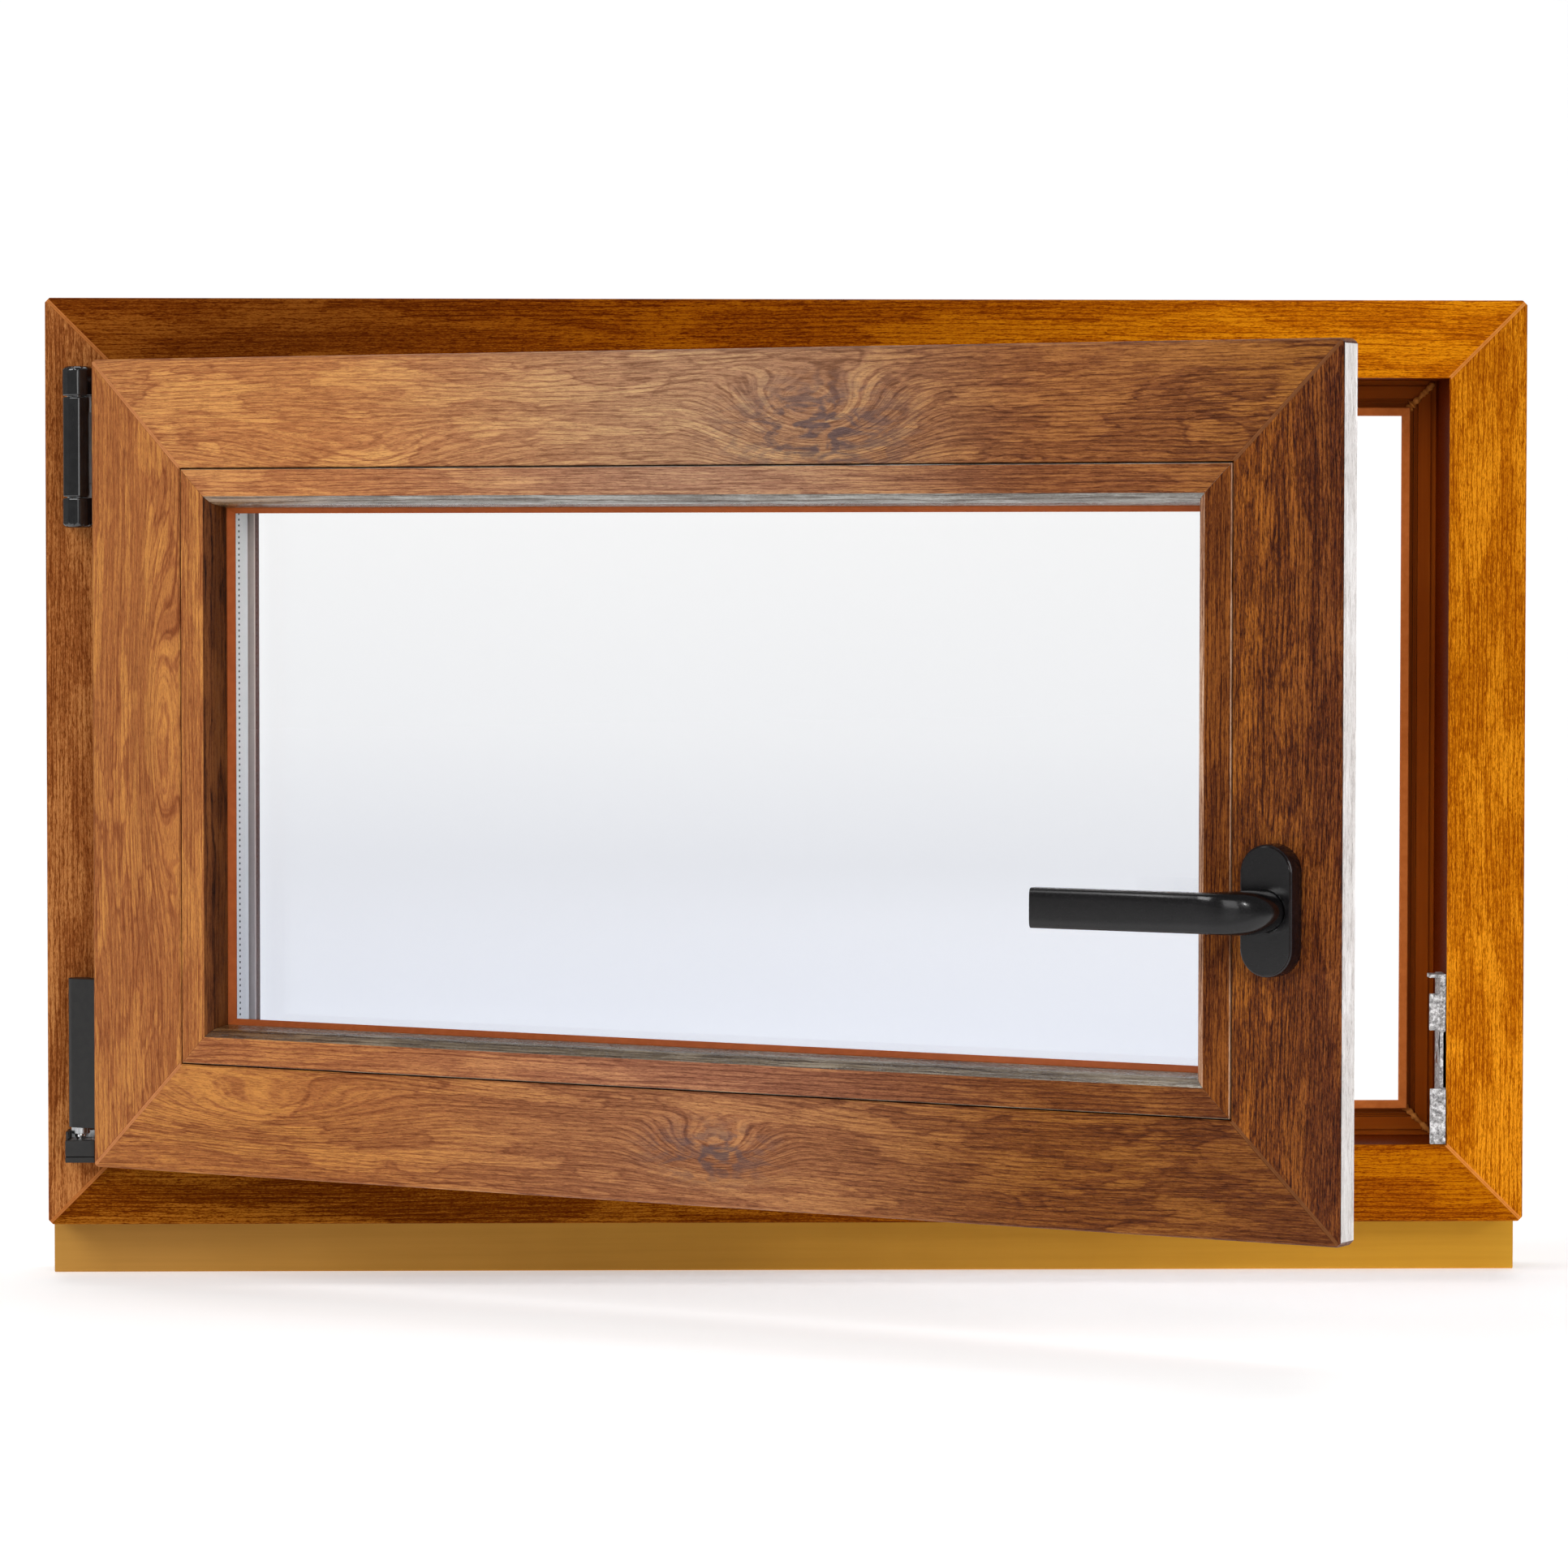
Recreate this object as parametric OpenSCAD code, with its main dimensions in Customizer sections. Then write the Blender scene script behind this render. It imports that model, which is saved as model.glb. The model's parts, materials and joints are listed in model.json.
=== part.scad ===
/* [Frame] */
// Overall width of the frame
frame_w = 800; // [760:10:1000]
// Height of the frame above the base profile
frame_h = 500; // [480:10:900]
// Depth of the frame profile
frame_d = 70; // [70:1:72]
// Width of the frame face in front of the rebate
frame_face = 42; // [41:1:43]
// Reach of the frame profile to the inner end of its nose
nose_reach = 60.5; // [60:0.5:61]
// Height of the base profile under the frame
base_h = 30; // [20:1:40]
// Depth of the base profile
base_d = 34; // [30:1:36]
// Width of the welded seam along each mitre
seam_w = 2; // [1:0.5:3]

/* [Sash] */
// Angle at which the sash is drawn open
open_angle = 31.4; // [0:0.1:88]
// Overlap of the sash flange on the frame face
overlap = 8; // [7:1:9]
// Depth of the sash profile
sash_d = 70; // [70:1:70]
// Thickness of the flange that overlaps the frame
flange_t = 16; // [15:1:17]
// Width of the flange beyond the sash body
flange_w = 20; // [19:1:20]
// Gap between the flange and the frame face
flange_gap = 5; // [5:0.5:6]
// Width of the sash face outside the glazing bead
sash_face = 58; // [58:1:60]
// Width of the glazing bead
bead_w = 21; // [20:1:22]

/* [Glass] */
// Thickness of each pane
pane_t = 4; // [4:1:4]
// Width of the sealed cavity between the panes
cavity_w = 16; // [16:1:16]
// Distance from the flange edge to the edge of the glass
glass_edge = 63; // [62:1:65]

/* [Handle] */
// Height of the spindle above the lower edge of the sash
spindle_rise = 160; // [150:1:250]
// Distance from the sash body's edge to the spindle
backset = 15; // [15:1:15]
// Length of the lever from the spindle to its tip
lever_l = 109; // [95:1:130]
// Distance of the lever's outer face from the sash
lever_out = 45; // [42:1:52]
// Width of the lever
lever_w = 19.6; // [17:0.1:21]
// Thickness of the lever
lever_t = 11; // [9:1:13]
// Width of the rosette
rosette_w = 28; // [27:1:32]
// Length of the rosette
rosette_l = 64; // [62:1:72]
// Height of the rosette above the sash
rosette_h = 11; // [10:1:12]

/* [Hinges] */
// Distance of the hinge axis from the sash edge
axis_out = 15.5; // [15:0.5:17]
// Distance of the hinge axis from the frame face
axis_front = 11; // [11:0.5:12]
// Height of the tilt axis above the lower edge of the sash
tilt_rise = 16; // [16:1:16]
// Height of each end cap of the stay bearing
cap_h = 16; // [12:1:18]
// Height of the stay arm's knuckle
knuckle_h = 53.8; // [40:0.2:60]
// Radius over the corners of the hinge covers
cover_r = 8.3; // [8:0.1:8.4]

/* [Locking] */
// Number of teeth on the gearbox pinion
pinion_teeth = 14; // [14:1:14]
// Tooth module of the gearbox pinion
tooth_module = 1.5; // [1.5:0.1:1.5]
// Radius of the locking cams
cam_r = 3.5; // [3:0.1:3.5]
// Height of the locking cam above the lower edge of the sash, in the turn position
cam_rise = 54; // [54:1:54]

/* [Hidden] */

$fn = 48;

// Walls of the extruded profiles
wall = 3;
web = 1.5;
edge = 0.8;
tip = 2.5;
seam_t = 0.3;
weld_reach = 90;
fit = 0.05;
clear = 0.3;
ARC_STEPS = 6;
SIDES = ["top", "bottom", "hinge", "lock"];

// Places that everything else is measured from
face_y = -frame_d / 2;
mid_z = base_h + frame_h / 2;
sash_margin = frame_face - overlap;
sash_w = frame_w - 2 * sash_margin;
sash_h = frame_h - 2 * sash_margin;
sash_x = sash_w / 2;
sash_z = base_h + sash_margin;
sash_top = sash_z + sash_h;
sash_y = face_y - flange_gap - flange_t;
flange_back = sash_y + flange_t;
hinge_x = -sash_x - axis_out;
hinge_y = face_y - axis_front;
tilt_z = sash_z + tilt_rise;

// Glazing, measured through the sash from its front
bead_t = 13.6;
glass_w = 18;
glass_back = glass_w + 2 * pane_t + cavity_w;
upstand_w = glass_back + 2.8;
bead_gap = 0.6;
bead_slot = [9.8, 13.2];
bead_foot = 3;

// Hardware groove round the sash body, measured through the sash
groove_w = 29;
groove_y = sash_y + groove_w;
plate_half = 8.2;
plate_deep = 3;
rod_half = 6;
rod_deep = 12;
body_x = sash_x - flange_w;
body_top = sash_top - flange_w;
body_bottom = sash_z + flange_w;

// Gearbox and rods
spindle_x = body_x - backset;
spindle_z = sash_z + spindle_rise;
spindle_size = 7;
pitch_r = pinion_teeth * tooth_module / 2;
tooth_pitch = PI * tooth_module;
stroke = pitch_r * PI / 2;
faceplate_t = 2;
faceplate_out = 0.2;
rod_t = 2.3;
rod_gap = 0.2;
rod_w = 9;
rod_back = faceplate_t - faceplate_out + rod_gap + rod_t;
cam_out = 7.8;
stem_r = 2.4;
lock_cam_z = sash_z + cam_rise;
top_cam_x = 100;
bottom_cam_x = 40;

function arc(centre, r, from, to) =
    [for (i = [0 : ARC_STEPS])
        centre + r * [cos(from + (to - from) * i / ARC_STEPS), sin(from + (to - from) * i / ARC_STEPS)]];

// Turns the closed sash about the hinge axis to the angle at which it is drawn
module swung() {
    translate([hinge_x, hinge_y, 0])
        rotate([0, 0, -open_angle])
            translate([-hinge_x, -hinge_y, 0])
                children();
}

module box(low, high) {
    translate(low) cube(high - low);
}

// A straight bar along X: the section's x runs up from the bar's outer edge and its y runs back
module bar(length) {
    rotate([0, -90, 0]) linear_extrude(length, center = true) children();
}

module mitre_wedge(length, corner) {
    half = length / 2;
    rotate([90, 0, 0])
        linear_extrude(4 * frame_d, center = true)
            polygon([
                [-half + corner, 0], [half - corner, 0], [half - corner / 2, corner / 2],
                [half - weld_reach, weld_reach], [-half + weld_reach, weld_reach],
                [-half + corner / 2, corner / 2]
            ]);
}

// The shallow milled seam along both mitres of a bar, on one face
module seams(length, reach, depth_at) {
    for (side = [0, 1])
        mirror([side, 0, 0])
            translate([-length / 2, depth_at, 0])
                rotate([0, -45, 0])
                    translate([0, -seam_t, -seam_w / 2])
                        cube([reach * sqrt(2), 2 * seam_t, seam_w]);
}

module mitred_bar(length, corner = 0) {
    intersection() {
        bar(length) children();
        mitre_wedge(length, corner);
    }
}

// Puts a bar on one side of a rectangle round the window's centre, with its front at depth y
module on_side(side, w, h, y) {
    translate([0, y, mid_z]) {
        if (side == "bottom") translate([0, 0, -h / 2]) children();
        if (side == "top") translate([0, 0, h / 2]) mirror([0, 0, 1]) children();
        if (side == "hinge") translate([-w / 2, 0, 0]) rotate([0, 90, 0]) children();
        if (side == "lock") translate([w / 2, 0, 0]) rotate([0, -90, 0]) children();
    }
}

function side_length(side, w, h) = (side == "top" || side == "bottom") ? w : h;

module ring(w, h, y) {
    for (side = SIDES)
        on_side(side, w, h, y)
            mitred_bar(side_length(side, w, h))
                children();
}

/* ---- Profile sections: x from the outer edge inwards, y from the front backwards ---- */

nose_front = frame_d - 16.4;
step_in = 45;
gasket_in = 56.4;
groove_in = 52;

// Chambers behind the frame face, measured from its front wall: start and depth
chamber_w = frame_face - 2 * wall;
front_chamber = 13.5;
steel_chamber = [15, 32];
back_chamber = 48.5;

// Steel channels: wall, and the frame channel's corner and size
steel_t = 1.5;
steel_at = [5, 20];
steel_size = [32, 28];
sash_steel_d = 34;

module frame_section() {
    difference() {
        polygon([
            [edge, 0], [frame_face - edge, 0], [frame_face, edge], [frame_face, nose_front + 1],
            [step_in, nose_front + 1], [step_in, nose_front], [groove_in, nose_front],
            [groove_in, nose_front + 2], [groove_in + 1.6, nose_front + 2],
            [groove_in + 1.6, nose_front + 0.6], [groove_in + 2.4, nose_front + 0.6],
            [groove_in + 2.4, nose_front + 2], [gasket_in, nose_front + 2],
            [gasket_in, nose_front + 0.4], [nose_reach, nose_front + 0.4],
            [nose_reach, nose_front + 3], [nose_reach - 5, frame_d],
            [edge, frame_d], [0, frame_d - edge], [0, edge]
        ]);
        translate([wall, wall]) square([chamber_w, front_chamber]);
        translate([wall, wall + steel_chamber[0]]) square([chamber_w, steel_chamber[1]]);
        translate([wall, wall + back_chamber]) square([chamber_w, frame_d - 2 * wall - back_chamber]);
        polygon([
            [frame_face - 1, nose_front + 4], [nose_reach - 3.6, nose_front + 4],
            [nose_reach - 7, frame_d - wall], [frame_face - 1, frame_d - wall]
        ]);
    }
}

module frame_steel_section() {
    difference() {
        translate(steel_at) square(steel_size);
        translate(steel_at + [steel_t, steel_t]) square([steel_size.x, steel_size.y - 2 * steel_t]);
    }
}

module frame_gasket_section() {
    base = nose_front + 0.4;
    polygon([
        [gasket_in + 0.2, base], [nose_reach + 0.3, base], [nose_reach + 1, base - 2.4],
        [nose_reach + 0.5, base - 4], [gasket_in + 0.8, base - 4.4], [gasket_in + 0.2, base - 3.6]
    ]);
}

sash_r = 2.5;
upstand_reach = sash_face + 19.5;

// Slope at the back edge of the sash body: its width and its depth
slope = [5, 11];

module sash_section() {
    floor_u = sash_face;
    difference() {
        polygon(concat(
            arc([sash_r, sash_r], sash_r, 180, 270),
            [
                [floor_u - edge, 0], [floor_u, edge],
                [floor_u, bead_slot[0]], [floor_u - bead_foot, bead_slot[0]],
                [floor_u - bead_foot, bead_slot[1]], [floor_u, bead_slot[1]],
                [floor_u, upstand_w], [upstand_reach, upstand_w], [upstand_reach, upstand_w + 4],
                [upstand_reach - 11.5, sash_d - 7], [floor_u + 2, sash_d],
                [flange_w + slope.x, sash_d], [flange_w, sash_d - slope.y],
                [flange_w, groove_w + plate_half], [flange_w + plate_deep, groove_w + plate_half],
                [flange_w + plate_deep, groove_w + rod_half], [flange_w + rod_deep, groove_w + rod_half],
                [flange_w + rod_deep, groove_w - rod_half], [flange_w + plate_deep, groove_w - rod_half],
                [flange_w + plate_deep, groove_w - plate_half], [flange_w, groove_w - plate_half],
                [flange_w, flange_t], [edge, flange_t], [0, flange_t - edge]
            ]
        ));
        translate([wall, wall]) square([floor_u - 2 * wall - bead_foot, flange_t - 2 * wall]);
        translate([flange_w + rod_deep + web + 1, flange_t])
            square([floor_u - bead_foot - flange_w - rod_deep - web - 1, 36]);
        translate([flange_w + wall, groove_w + plate_half + web + 1])
            square([rod_deep - wall + 1, 11]);
        polygon([
            [flange_w + wall, 54], [upstand_reach - 8.5, 54], [upstand_reach - 15.5, 62.5],
            [floor_u + 0.5, sash_d - wall], [flange_w + slope.x + 2, sash_d - wall],
            [flange_w + wall, sash_d - slope.y + 0.5]
        ]);
        polygon([
            [floor_u + 2.5, upstand_w + wall], [upstand_reach - 3.5, upstand_w + wall],
            [upstand_reach - 6, 52], [floor_u + 2.5, 52]
        ]);
    }
}

module sash_steel_section() {
    u = flange_w + rod_deep + web + 2;
    steel_w = sash_face - bead_foot - u - 1;
    difference() {
        translate([u, flange_t + 1]) square([steel_w, sash_steel_d]);
        translate([u + steel_t, flange_t + 1 + steel_t]) square([steel_w, sash_steel_d - 2 * steel_t]);
    }
}

module bead_section() {
    start = sash_face + bead_gap;
    round_r = 6.5;
    flat_end = sash_face + bead_w - 1.2 - round_r;
    difference() {
        polygon(concat(
            [[start, edge / 2], [start + edge / 2, 0]],
            arc([flat_end, round_r], round_r, 270, 360),
            [
                [sash_face + bead_w, bead_t], [sash_face + clear, bead_t],
                [sash_face + clear, bead_slot[1] - clear], [sash_face - bead_foot + clear, bead_slot[1] - clear],
                [sash_face - bead_foot + clear, bead_slot[0] + clear], [start, bead_slot[0] + clear]
            ]
        ));
        polygon([
            [start + 2, 2], [flat_end, 2], [flat_end + 4, 6.5], [flat_end + 5.2, bead_t - 2],
            [start + 2, bead_t - 2]
        ]);
    }
}

module bead_gasket_section() {
    inner = sash_face + bead_w;
    polygon([
        [inner - 6, bead_t + 0.1], [inner + 0.4, bead_t + 0.1], [inner + 3, glass_w - 1],
        [inner + 2.8, glass_w - 0.1], [inner - 4, glass_w - 0.1]
    ]);
}

module outer_gasket_section() {
    polygon([
        [upstand_reach - 8, glass_back + 0.1], [upstand_reach + 1.4, glass_back + 0.1],
        [upstand_reach + 1.2, glass_back + 1.4], [upstand_reach, upstand_w - 0.1],
        [upstand_reach - 8, upstand_w - 0.1]
    ]);
}

module sash_gasket_section(height) {
    polygon([
        [3, flange_t], [7.6, flange_t], [7.8, flange_t + height / 2], [6.4, flange_t + height],
        [4.2, flange_t + height], [3, flange_t + height / 2]
    ]);
}

/* ---- Frame ---- */

module frame_bar(side) {
    length = side_length(side, frame_w, frame_h);
    color("peru")
        on_side(side, frame_w, frame_h, face_y)
            difference() {
                mitred_bar(length, tip) frame_section();
                seams(length, frame_face, 0);
                seams(length, nose_reach, frame_d);
            }
}

module frame_head() {
    difference() {
        frame_bar("top");
        at_head_screws() pilot_hole();
    }
}

drain_w = 26;
drain_h = 5;
DRAINS = [-230, 230];

// The sill also drains: slots in the rebate floor, and slots through the outside wall
module frame_sill() {
    difference() {
        frame_bar("bottom");
        at_sill_screws() pilot_hole();
        for (x = DRAINS) {
            box([x - drain_w / 2, 8, base_h + frame_face - wall - 1],
                [x + drain_w / 2, 8 + drain_h, base_h + frame_face + 1]);
            box([x - drain_w / 2, frame_d / 2 - wall - 1, base_h + 12],
                [x + drain_w / 2, frame_d / 2 + 1, base_h + 12 + drain_h]);
        }
    }
}

module frame_hinge_jamb() {
    frame_bar("hinge");
}

module frame_lock_jamb() {
    difference() {
        frame_bar("lock");
        at_tilt_screws() pilot_hole();
    }
}

module base_profile() {
    base_y = -1;
    chamber = (base_d - 3 * 2) / 2;
    color("goldenrod")
        translate([0, base_y, 0])
            bar(frame_w)
                difference() {
                    polygon([
                        [edge, 0], [base_h, 0], [base_h, base_d], [edge, base_d],
                        [0, base_d - edge], [0, edge]
                    ]);
                    for (i = [0, 1])
                        translate([2, 2 + i * (chamber + 2)]) square([base_h - 4, chamber]);
                }
}

steel_cut = 50;

module frame_reinforcement() {
    color("silver")
        for (side = SIDES)
            on_side(side, frame_w, frame_h, face_y)
                bar(side_length(side, frame_w, frame_h) - 2 * steel_cut)
                    frame_steel_section();
}

module frame_gasket() {
    color("saddlebrown")
        ring(frame_w, frame_h, face_y) frame_gasket_section();
}

module drain_caps() {
    cap_w = drain_w + 10;
    cap_t = 4;
    color("saddlebrown")
        for (x = DRAINS)
            translate([x - cap_w / 2, frame_d / 2, base_h + 9])
                difference() {
                    cube([cap_w, cap_t, 12]);
                    translate([2, -1, -1]) cube([cap_w - 4, cap_t - 0.4, 10.5]);
                }
}

/* ---- Stay bearing at the top of the hinge side ---- */

bearing_h = 2 * cap_h + knuckle_h + 0.8;
bearing_z = sash_top - 3 - bearing_h;
pin_r = 3;
core_r = 5.4;
plate_t = 2;
bracket_t = 2.4;
leg_t = 3;
cap_turn = -14;
CAP_Z = [0, cap_h + knuckle_h + 0.8];

module at_hinge(z) {
    translate([hinge_x, hinge_y, z]) children();
}

module stay_bearing() {
    color("silver")
        at_hinge(bearing_z)
            difference() {
                union() {
                    box([-6.5, axis_front - plate_t, 0.4], [6.5, axis_front, bearing_h - 0.4]);
                    for (z = [CAP_Z[0] + 1.5, CAP_Z[1] + 0.1]) {
                        translate([0, 0, z]) cylinder(r = core_r, h = cap_h - 1.6);
                        box([-4, 0, z], [4, axis_front - 0.5, z + cap_h - 1.6]);
                    }
                }
                translate([0, 0, -1]) cylinder(r = pin_r + fit, h = bearing_h + 2);
            }
}

// A ten-sided cap with one soft end, hollow over the knuckle below it
module hinge_cap() {
    soft = 3;
    difference() {
        intersection() {
            rotate([0, 0, cap_turn]) cylinder(r = cover_r, h = cap_h, $fn = 10);
            rotate_extrude()
                polygon(concat(
                    [[0, 0]],
                    [[cover_r + 1, 0], [cover_r + 1, cap_h - soft - 2]],
                    arc([cover_r - soft, cap_h - soft], soft, 0, 90),
                    [[0, cap_h]]
                ));
        }
        translate([0, 0, -1]) cylinder(r = core_r + fit, h = cap_h - 0.4);
        box([-4 - fit, 0, -1], [4 + fit, cover_r + 1, cap_h - 0.4]);
    }
}

module stay_bearing_caps() {
    color("black")
        at_hinge(bearing_z) {
            translate([0, 0, CAP_Z[1]]) hinge_cap();
            translate([0, 0, cap_h]) mirror([0, 0, 1]) hinge_cap();
        }
}

module stay_bearing_pin() {
    color("silver")
        at_hinge(bearing_z + 2) cylinder(r = pin_r, h = bearing_h - 4);
}

/* ---- Stay arm: knuckle, bracket through the rebate, and the arm above the sash ---- */

arm_t = 2.5;
arm_w = 14;
arm_z = base_h + frame_h - frame_face - arm_t - 2.5;
arm_y = groove_y;
link_x = -100;
arm_x = -body_x - 5.5;
tab_z = [bearing_z + cap_h + 8, bearing_z + cap_h + knuckle_h - 8];
link_r = 2.5;

module stay_arm() {
    knuckle_z = bearing_z + cap_h + 0.4;
    tab_y = face_y - plate_t - clear;
    color("silver")
        swung()
            difference() {
                union() {
                    at_hinge(knuckle_z) cylinder(r = core_r, h = knuckle_h);
                    box([hinge_x, hinge_y, tab_z[0]], [hinge_x + core_r, tab_y, tab_z[1]]);
                    box([hinge_x, tab_y - bracket_t, tab_z[0]], [arm_x, tab_y, tab_z[1]]);
                    box([arm_x - leg_t, tab_y - bracket_t, tab_z[0]], [arm_x, arm_y + arm_w / 2, arm_z + arm_t]);
                    box([arm_x - leg_t, arm_y - arm_w / 2, arm_z], [link_x, arm_y + arm_w / 2, arm_z + arm_t]);
                    translate([link_x, arm_y, arm_z]) cylinder(d = arm_w, h = arm_t);
                    translate([link_x, arm_y, body_top - 6]) cylinder(r = link_r, h = arm_z - body_top + 7);
                    translate([link_x, arm_y, arm_z + arm_t]) cylinder(r = 4, h = 1);
                }
                at_hinge(knuckle_z - 1) cylinder(r = pin_r + fit, h = knuckle_h + 2);
            }
}

module stay_arm_cover() {
    knuckle_z = bearing_z + cap_h + 0.4;
    color("black")
        swung()
            at_hinge(knuckle_z + 0.2)
                difference() {
                    rotate([0, 0, cap_turn]) cylinder(r = cover_r, h = knuckle_h - 0.4, $fn = 10);
                    translate([0, 0, -1]) cylinder(r = core_r + fit, h = knuckle_h + 2);
                    box([-fit, 0, -1], [cover_r + 2, cover_r + 1, knuckle_h + 2]);
                }
}

/* ---- Corner bearing and hinge band at the bottom of the hinge side ---- */

ball_r = 3;
pivot_r = 4;
notch_z = -2.5;
block_low = -14.4;

module corner_bearing() {
    color("silver")
        at_hinge(tilt_z)
            difference() {
                union() {
                    box([-5.8, axis_front - plate_t, block_low + 1.6], [7.4, axis_front, 1.6]);
                    box([-5.8, -6.5, block_low + 1.6], [5.8, axis_front - 1, notch_z]);
                }
                translate([0, 0, block_low + 2.4]) cylinder(r = pivot_r + fit, h = 20);
            }
}

// The black cap leaves the ball in sight: its front stops below the ball, its side runs past it
module corner_bearing_cap() {
    low = [-7.4, -9.5, block_low];
    wall_t = 1.4;
    color("black")
        at_hinge(tilt_z)
            difference() {
                union() {
                    box(low, [8.4, axis_front, notch_z]);
                    box([low[0], -6, notch_z - 1], [low[0] + wall_t, axis_front, 2]);
                }
                box([low[0] + wall_t, low[1] + 2.8, low[2] + wall_t], [10, axis_front + 1, 3]);
                box([-10, low[1] - 1, low[2] + 2.8], [10, low[1] + 0.4, low[2] + 3.3]);
            }
}

module pivot_pin() {
    color("gainsboro")
        at_hinge(tilt_z) {
            translate([0, 0, block_low + 2.6]) cylinder(r = pivot_r, h = 8);
            translate([0, 0, block_low + 10]) cylinder(r = 2, h = -block_low - 10);
            sphere(r = ball_r);
        }
}

band_h = 85;
band_r = 5;
band_skin = 1.1;
band_low = 4.2;

module hinge_band() {
    tab_y = axis_front - 2;
    reach = -hinge_x - body_x;
    color("silver")
        swung()
            at_hinge(tilt_z)
                difference() {
                    union() {
                        translate([0, 0, 0.6]) cylinder(r = band_r, h = band_h - 3);
                        box([0, 0, 6], [band_r, tab_y, band_h - 6]);
                        box([0, tab_y - bracket_t, 6], [reach, tab_y, band_h - 6]);
                        box([reach - leg_t, tab_y - bracket_t, 6], [reach, 40, band_h - 6]);
                    }
                    sphere(r = ball_r + fit);
                    for (z = [24, band_h - 24])
                        translate([reach - 4, 30, z]) rotate([0, 90, 0]) cylinder(r = 2.2, h = 5);
                }
}

module hinge_band_cover() {
    r = band_r + band_skin;
    color("dimgray")
        swung()
            at_hinge(tilt_z + band_low)
                difference() {
                    union() {
                        cylinder(r = r, h = band_h - band_low - 0.5);
                        box([0, -r, 0], [axis_out - 0.5, 3.6, band_h - band_low - 0.5]);
                    }
                    translate([0, 0, -1]) cylinder(r = band_r + fit, h = band_h - band_low - 0.7);
                    box([2, -r + 1.4, -1], [axis_out - 2, 10, band_h - band_low - 2]);
                    box([-1, 0, -1], [band_r + 0.2, 10, band_h - band_low - 2]);
                }
}

/* ---- Strikes on the frame ---- */

strike_t = 3.4;
lip_out = 9;
lip_t = 1.5;
lock_lip = face_y + 2.2;
tilt_lip = face_y - 1.4;
strike_y = [face_y + 1.5, face_y + 22];
screw_y = face_y + 16;
rebate_x = frame_w / 2 - frame_face;
rebate_z = [base_h + frame_face, base_h + frame_h - frame_face];
lower_lip = [sash_z + 8.3, sash_z + 38.5];
upper_lip = [sash_z + 70, sash_z + 90];
strike_top = sash_z + 100.6;
SCREW_RISES = [22.3, 54, 82];
lip_l = 20;
lip_start = 6;
head_strike_x = top_cam_x - 38;
head_strike_l = 60;
sill_strike_x = bottom_cam_x - 38;
sill_strike_l = 76;

// Puts children at each screw of the tilt strike, pointing out of the frame
module at_tilt_screws() {
    for (rise = SCREW_RISES)
        translate([rebate_x, screw_y, sash_z + rise]) rotate([0, -90, 0]) children();
}

module at_head_screws() {
    for (x = [lip_start, head_strike_l - lip_start])
        translate([head_strike_x + x, screw_y, rebate_z[1]]) rotate([180, 0, 0]) children();
}

module at_sill_screws() {
    for (x = [lip_start, sill_strike_l - lip_start])
        translate([sill_strike_x + x, screw_y, rebate_z[0]]) children();
}

screw_seat = 1.5;
head_r = 3.5;
shank_r = 1.9;
shank_l = 6;

// The hole for a screw in a strike, wider above the seat
module strike_hole() {
    translate([0, 0, -1]) cylinder(r = shank_r + 0.2, h = strike_t + 2);
    translate([0, 0, screw_seat]) cylinder(r = head_r + 0.2, h = strike_t);
}

// The hole for a strike's screw in the frame
module pilot_hole() {
    translate([0, 0, -shank_l - 1]) cylinder(r = shank_r + fit, h = shank_l + 2);
}

module strike_screw() {
    slot_w = 0.8;
    difference() {
        union() {
            translate([0, 0, -shank_l]) cylinder(r = shank_r, h = shank_l + screw_seat + 1);
            translate([0, 0, screw_seat + 0.1]) cylinder(r = head_r, h = 1.6);
        }
        for (turn = [0, 90])
            rotate([0, 0, turn])
                translate([0, 0, screw_seat + 1.7]) cube([4, slot_w, 1.6], center = true);
    }
}

module strike_screws() {
    color("silver") {
        at_tilt_screws() strike_screw();
        at_head_screws() strike_screw();
        at_sill_screws() strike_screw();
    }
}

// The strike the cam slides behind: lower lip for tilting, upper lip for locking, an open gap between
module tilt_strike() {
    inner = rebate_x - lip_out;
    plate = rebate_x - strike_t;
    color("lightgray")
        difference() {
            union() {
                box([plate, strike_y[0], lower_lip[0]], [rebate_x, strike_y[1], strike_top]);
                box([plate, tilt_lip, lower_lip[0]], [rebate_x - 0.4, strike_y[0] + 1, lower_lip[1]]);
                box([inner, tilt_lip, lower_lip[0]], [plate + 1, tilt_lip + lip_t, lower_lip[1]]);
                box([inner, lock_lip, upper_lip[0]], [plate + 1, lock_lip + lip_t, upper_lip[1]]);
                box([inner, strike_y[0], strike_top - 2], [plate + 1, strike_y[0] + 12, strike_top]);
            }
            at_tilt_screws() strike_hole();
        }
}

// A plain strike standing on a wall at height zero: a base plate, and a lip for each place in lips
module plain_strike(length, lips) {
    plate_h = 3;
    box([0, strike_y[0], 0], [length, strike_y[1], plate_h]);
    for (start = lips)
        box([start, lock_lip, plate_h - 1], [start + lip_l, lock_lip + lip_t, lip_out]);
}

module head_strike() {
    color("lightgray")
        difference() {
            translate([head_strike_x, 0, rebate_z[1]])
                mirror([0, 0, 1]) plain_strike(head_strike_l, [lip_start]);
            at_head_screws() strike_hole();
        }
}

module sill_strike() {
    color("lightgray")
        difference() {
            translate([sill_strike_x, 0, rebate_z[0]])
                plain_strike(sill_strike_l, [lip_start, sill_strike_l - lip_start - lip_l]);
            at_sill_screws() strike_hole();
        }
}

/* ---- Sash ---- */

pocket_half = 34;
screw_gap = 43;
screw_r = 2.5;

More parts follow.
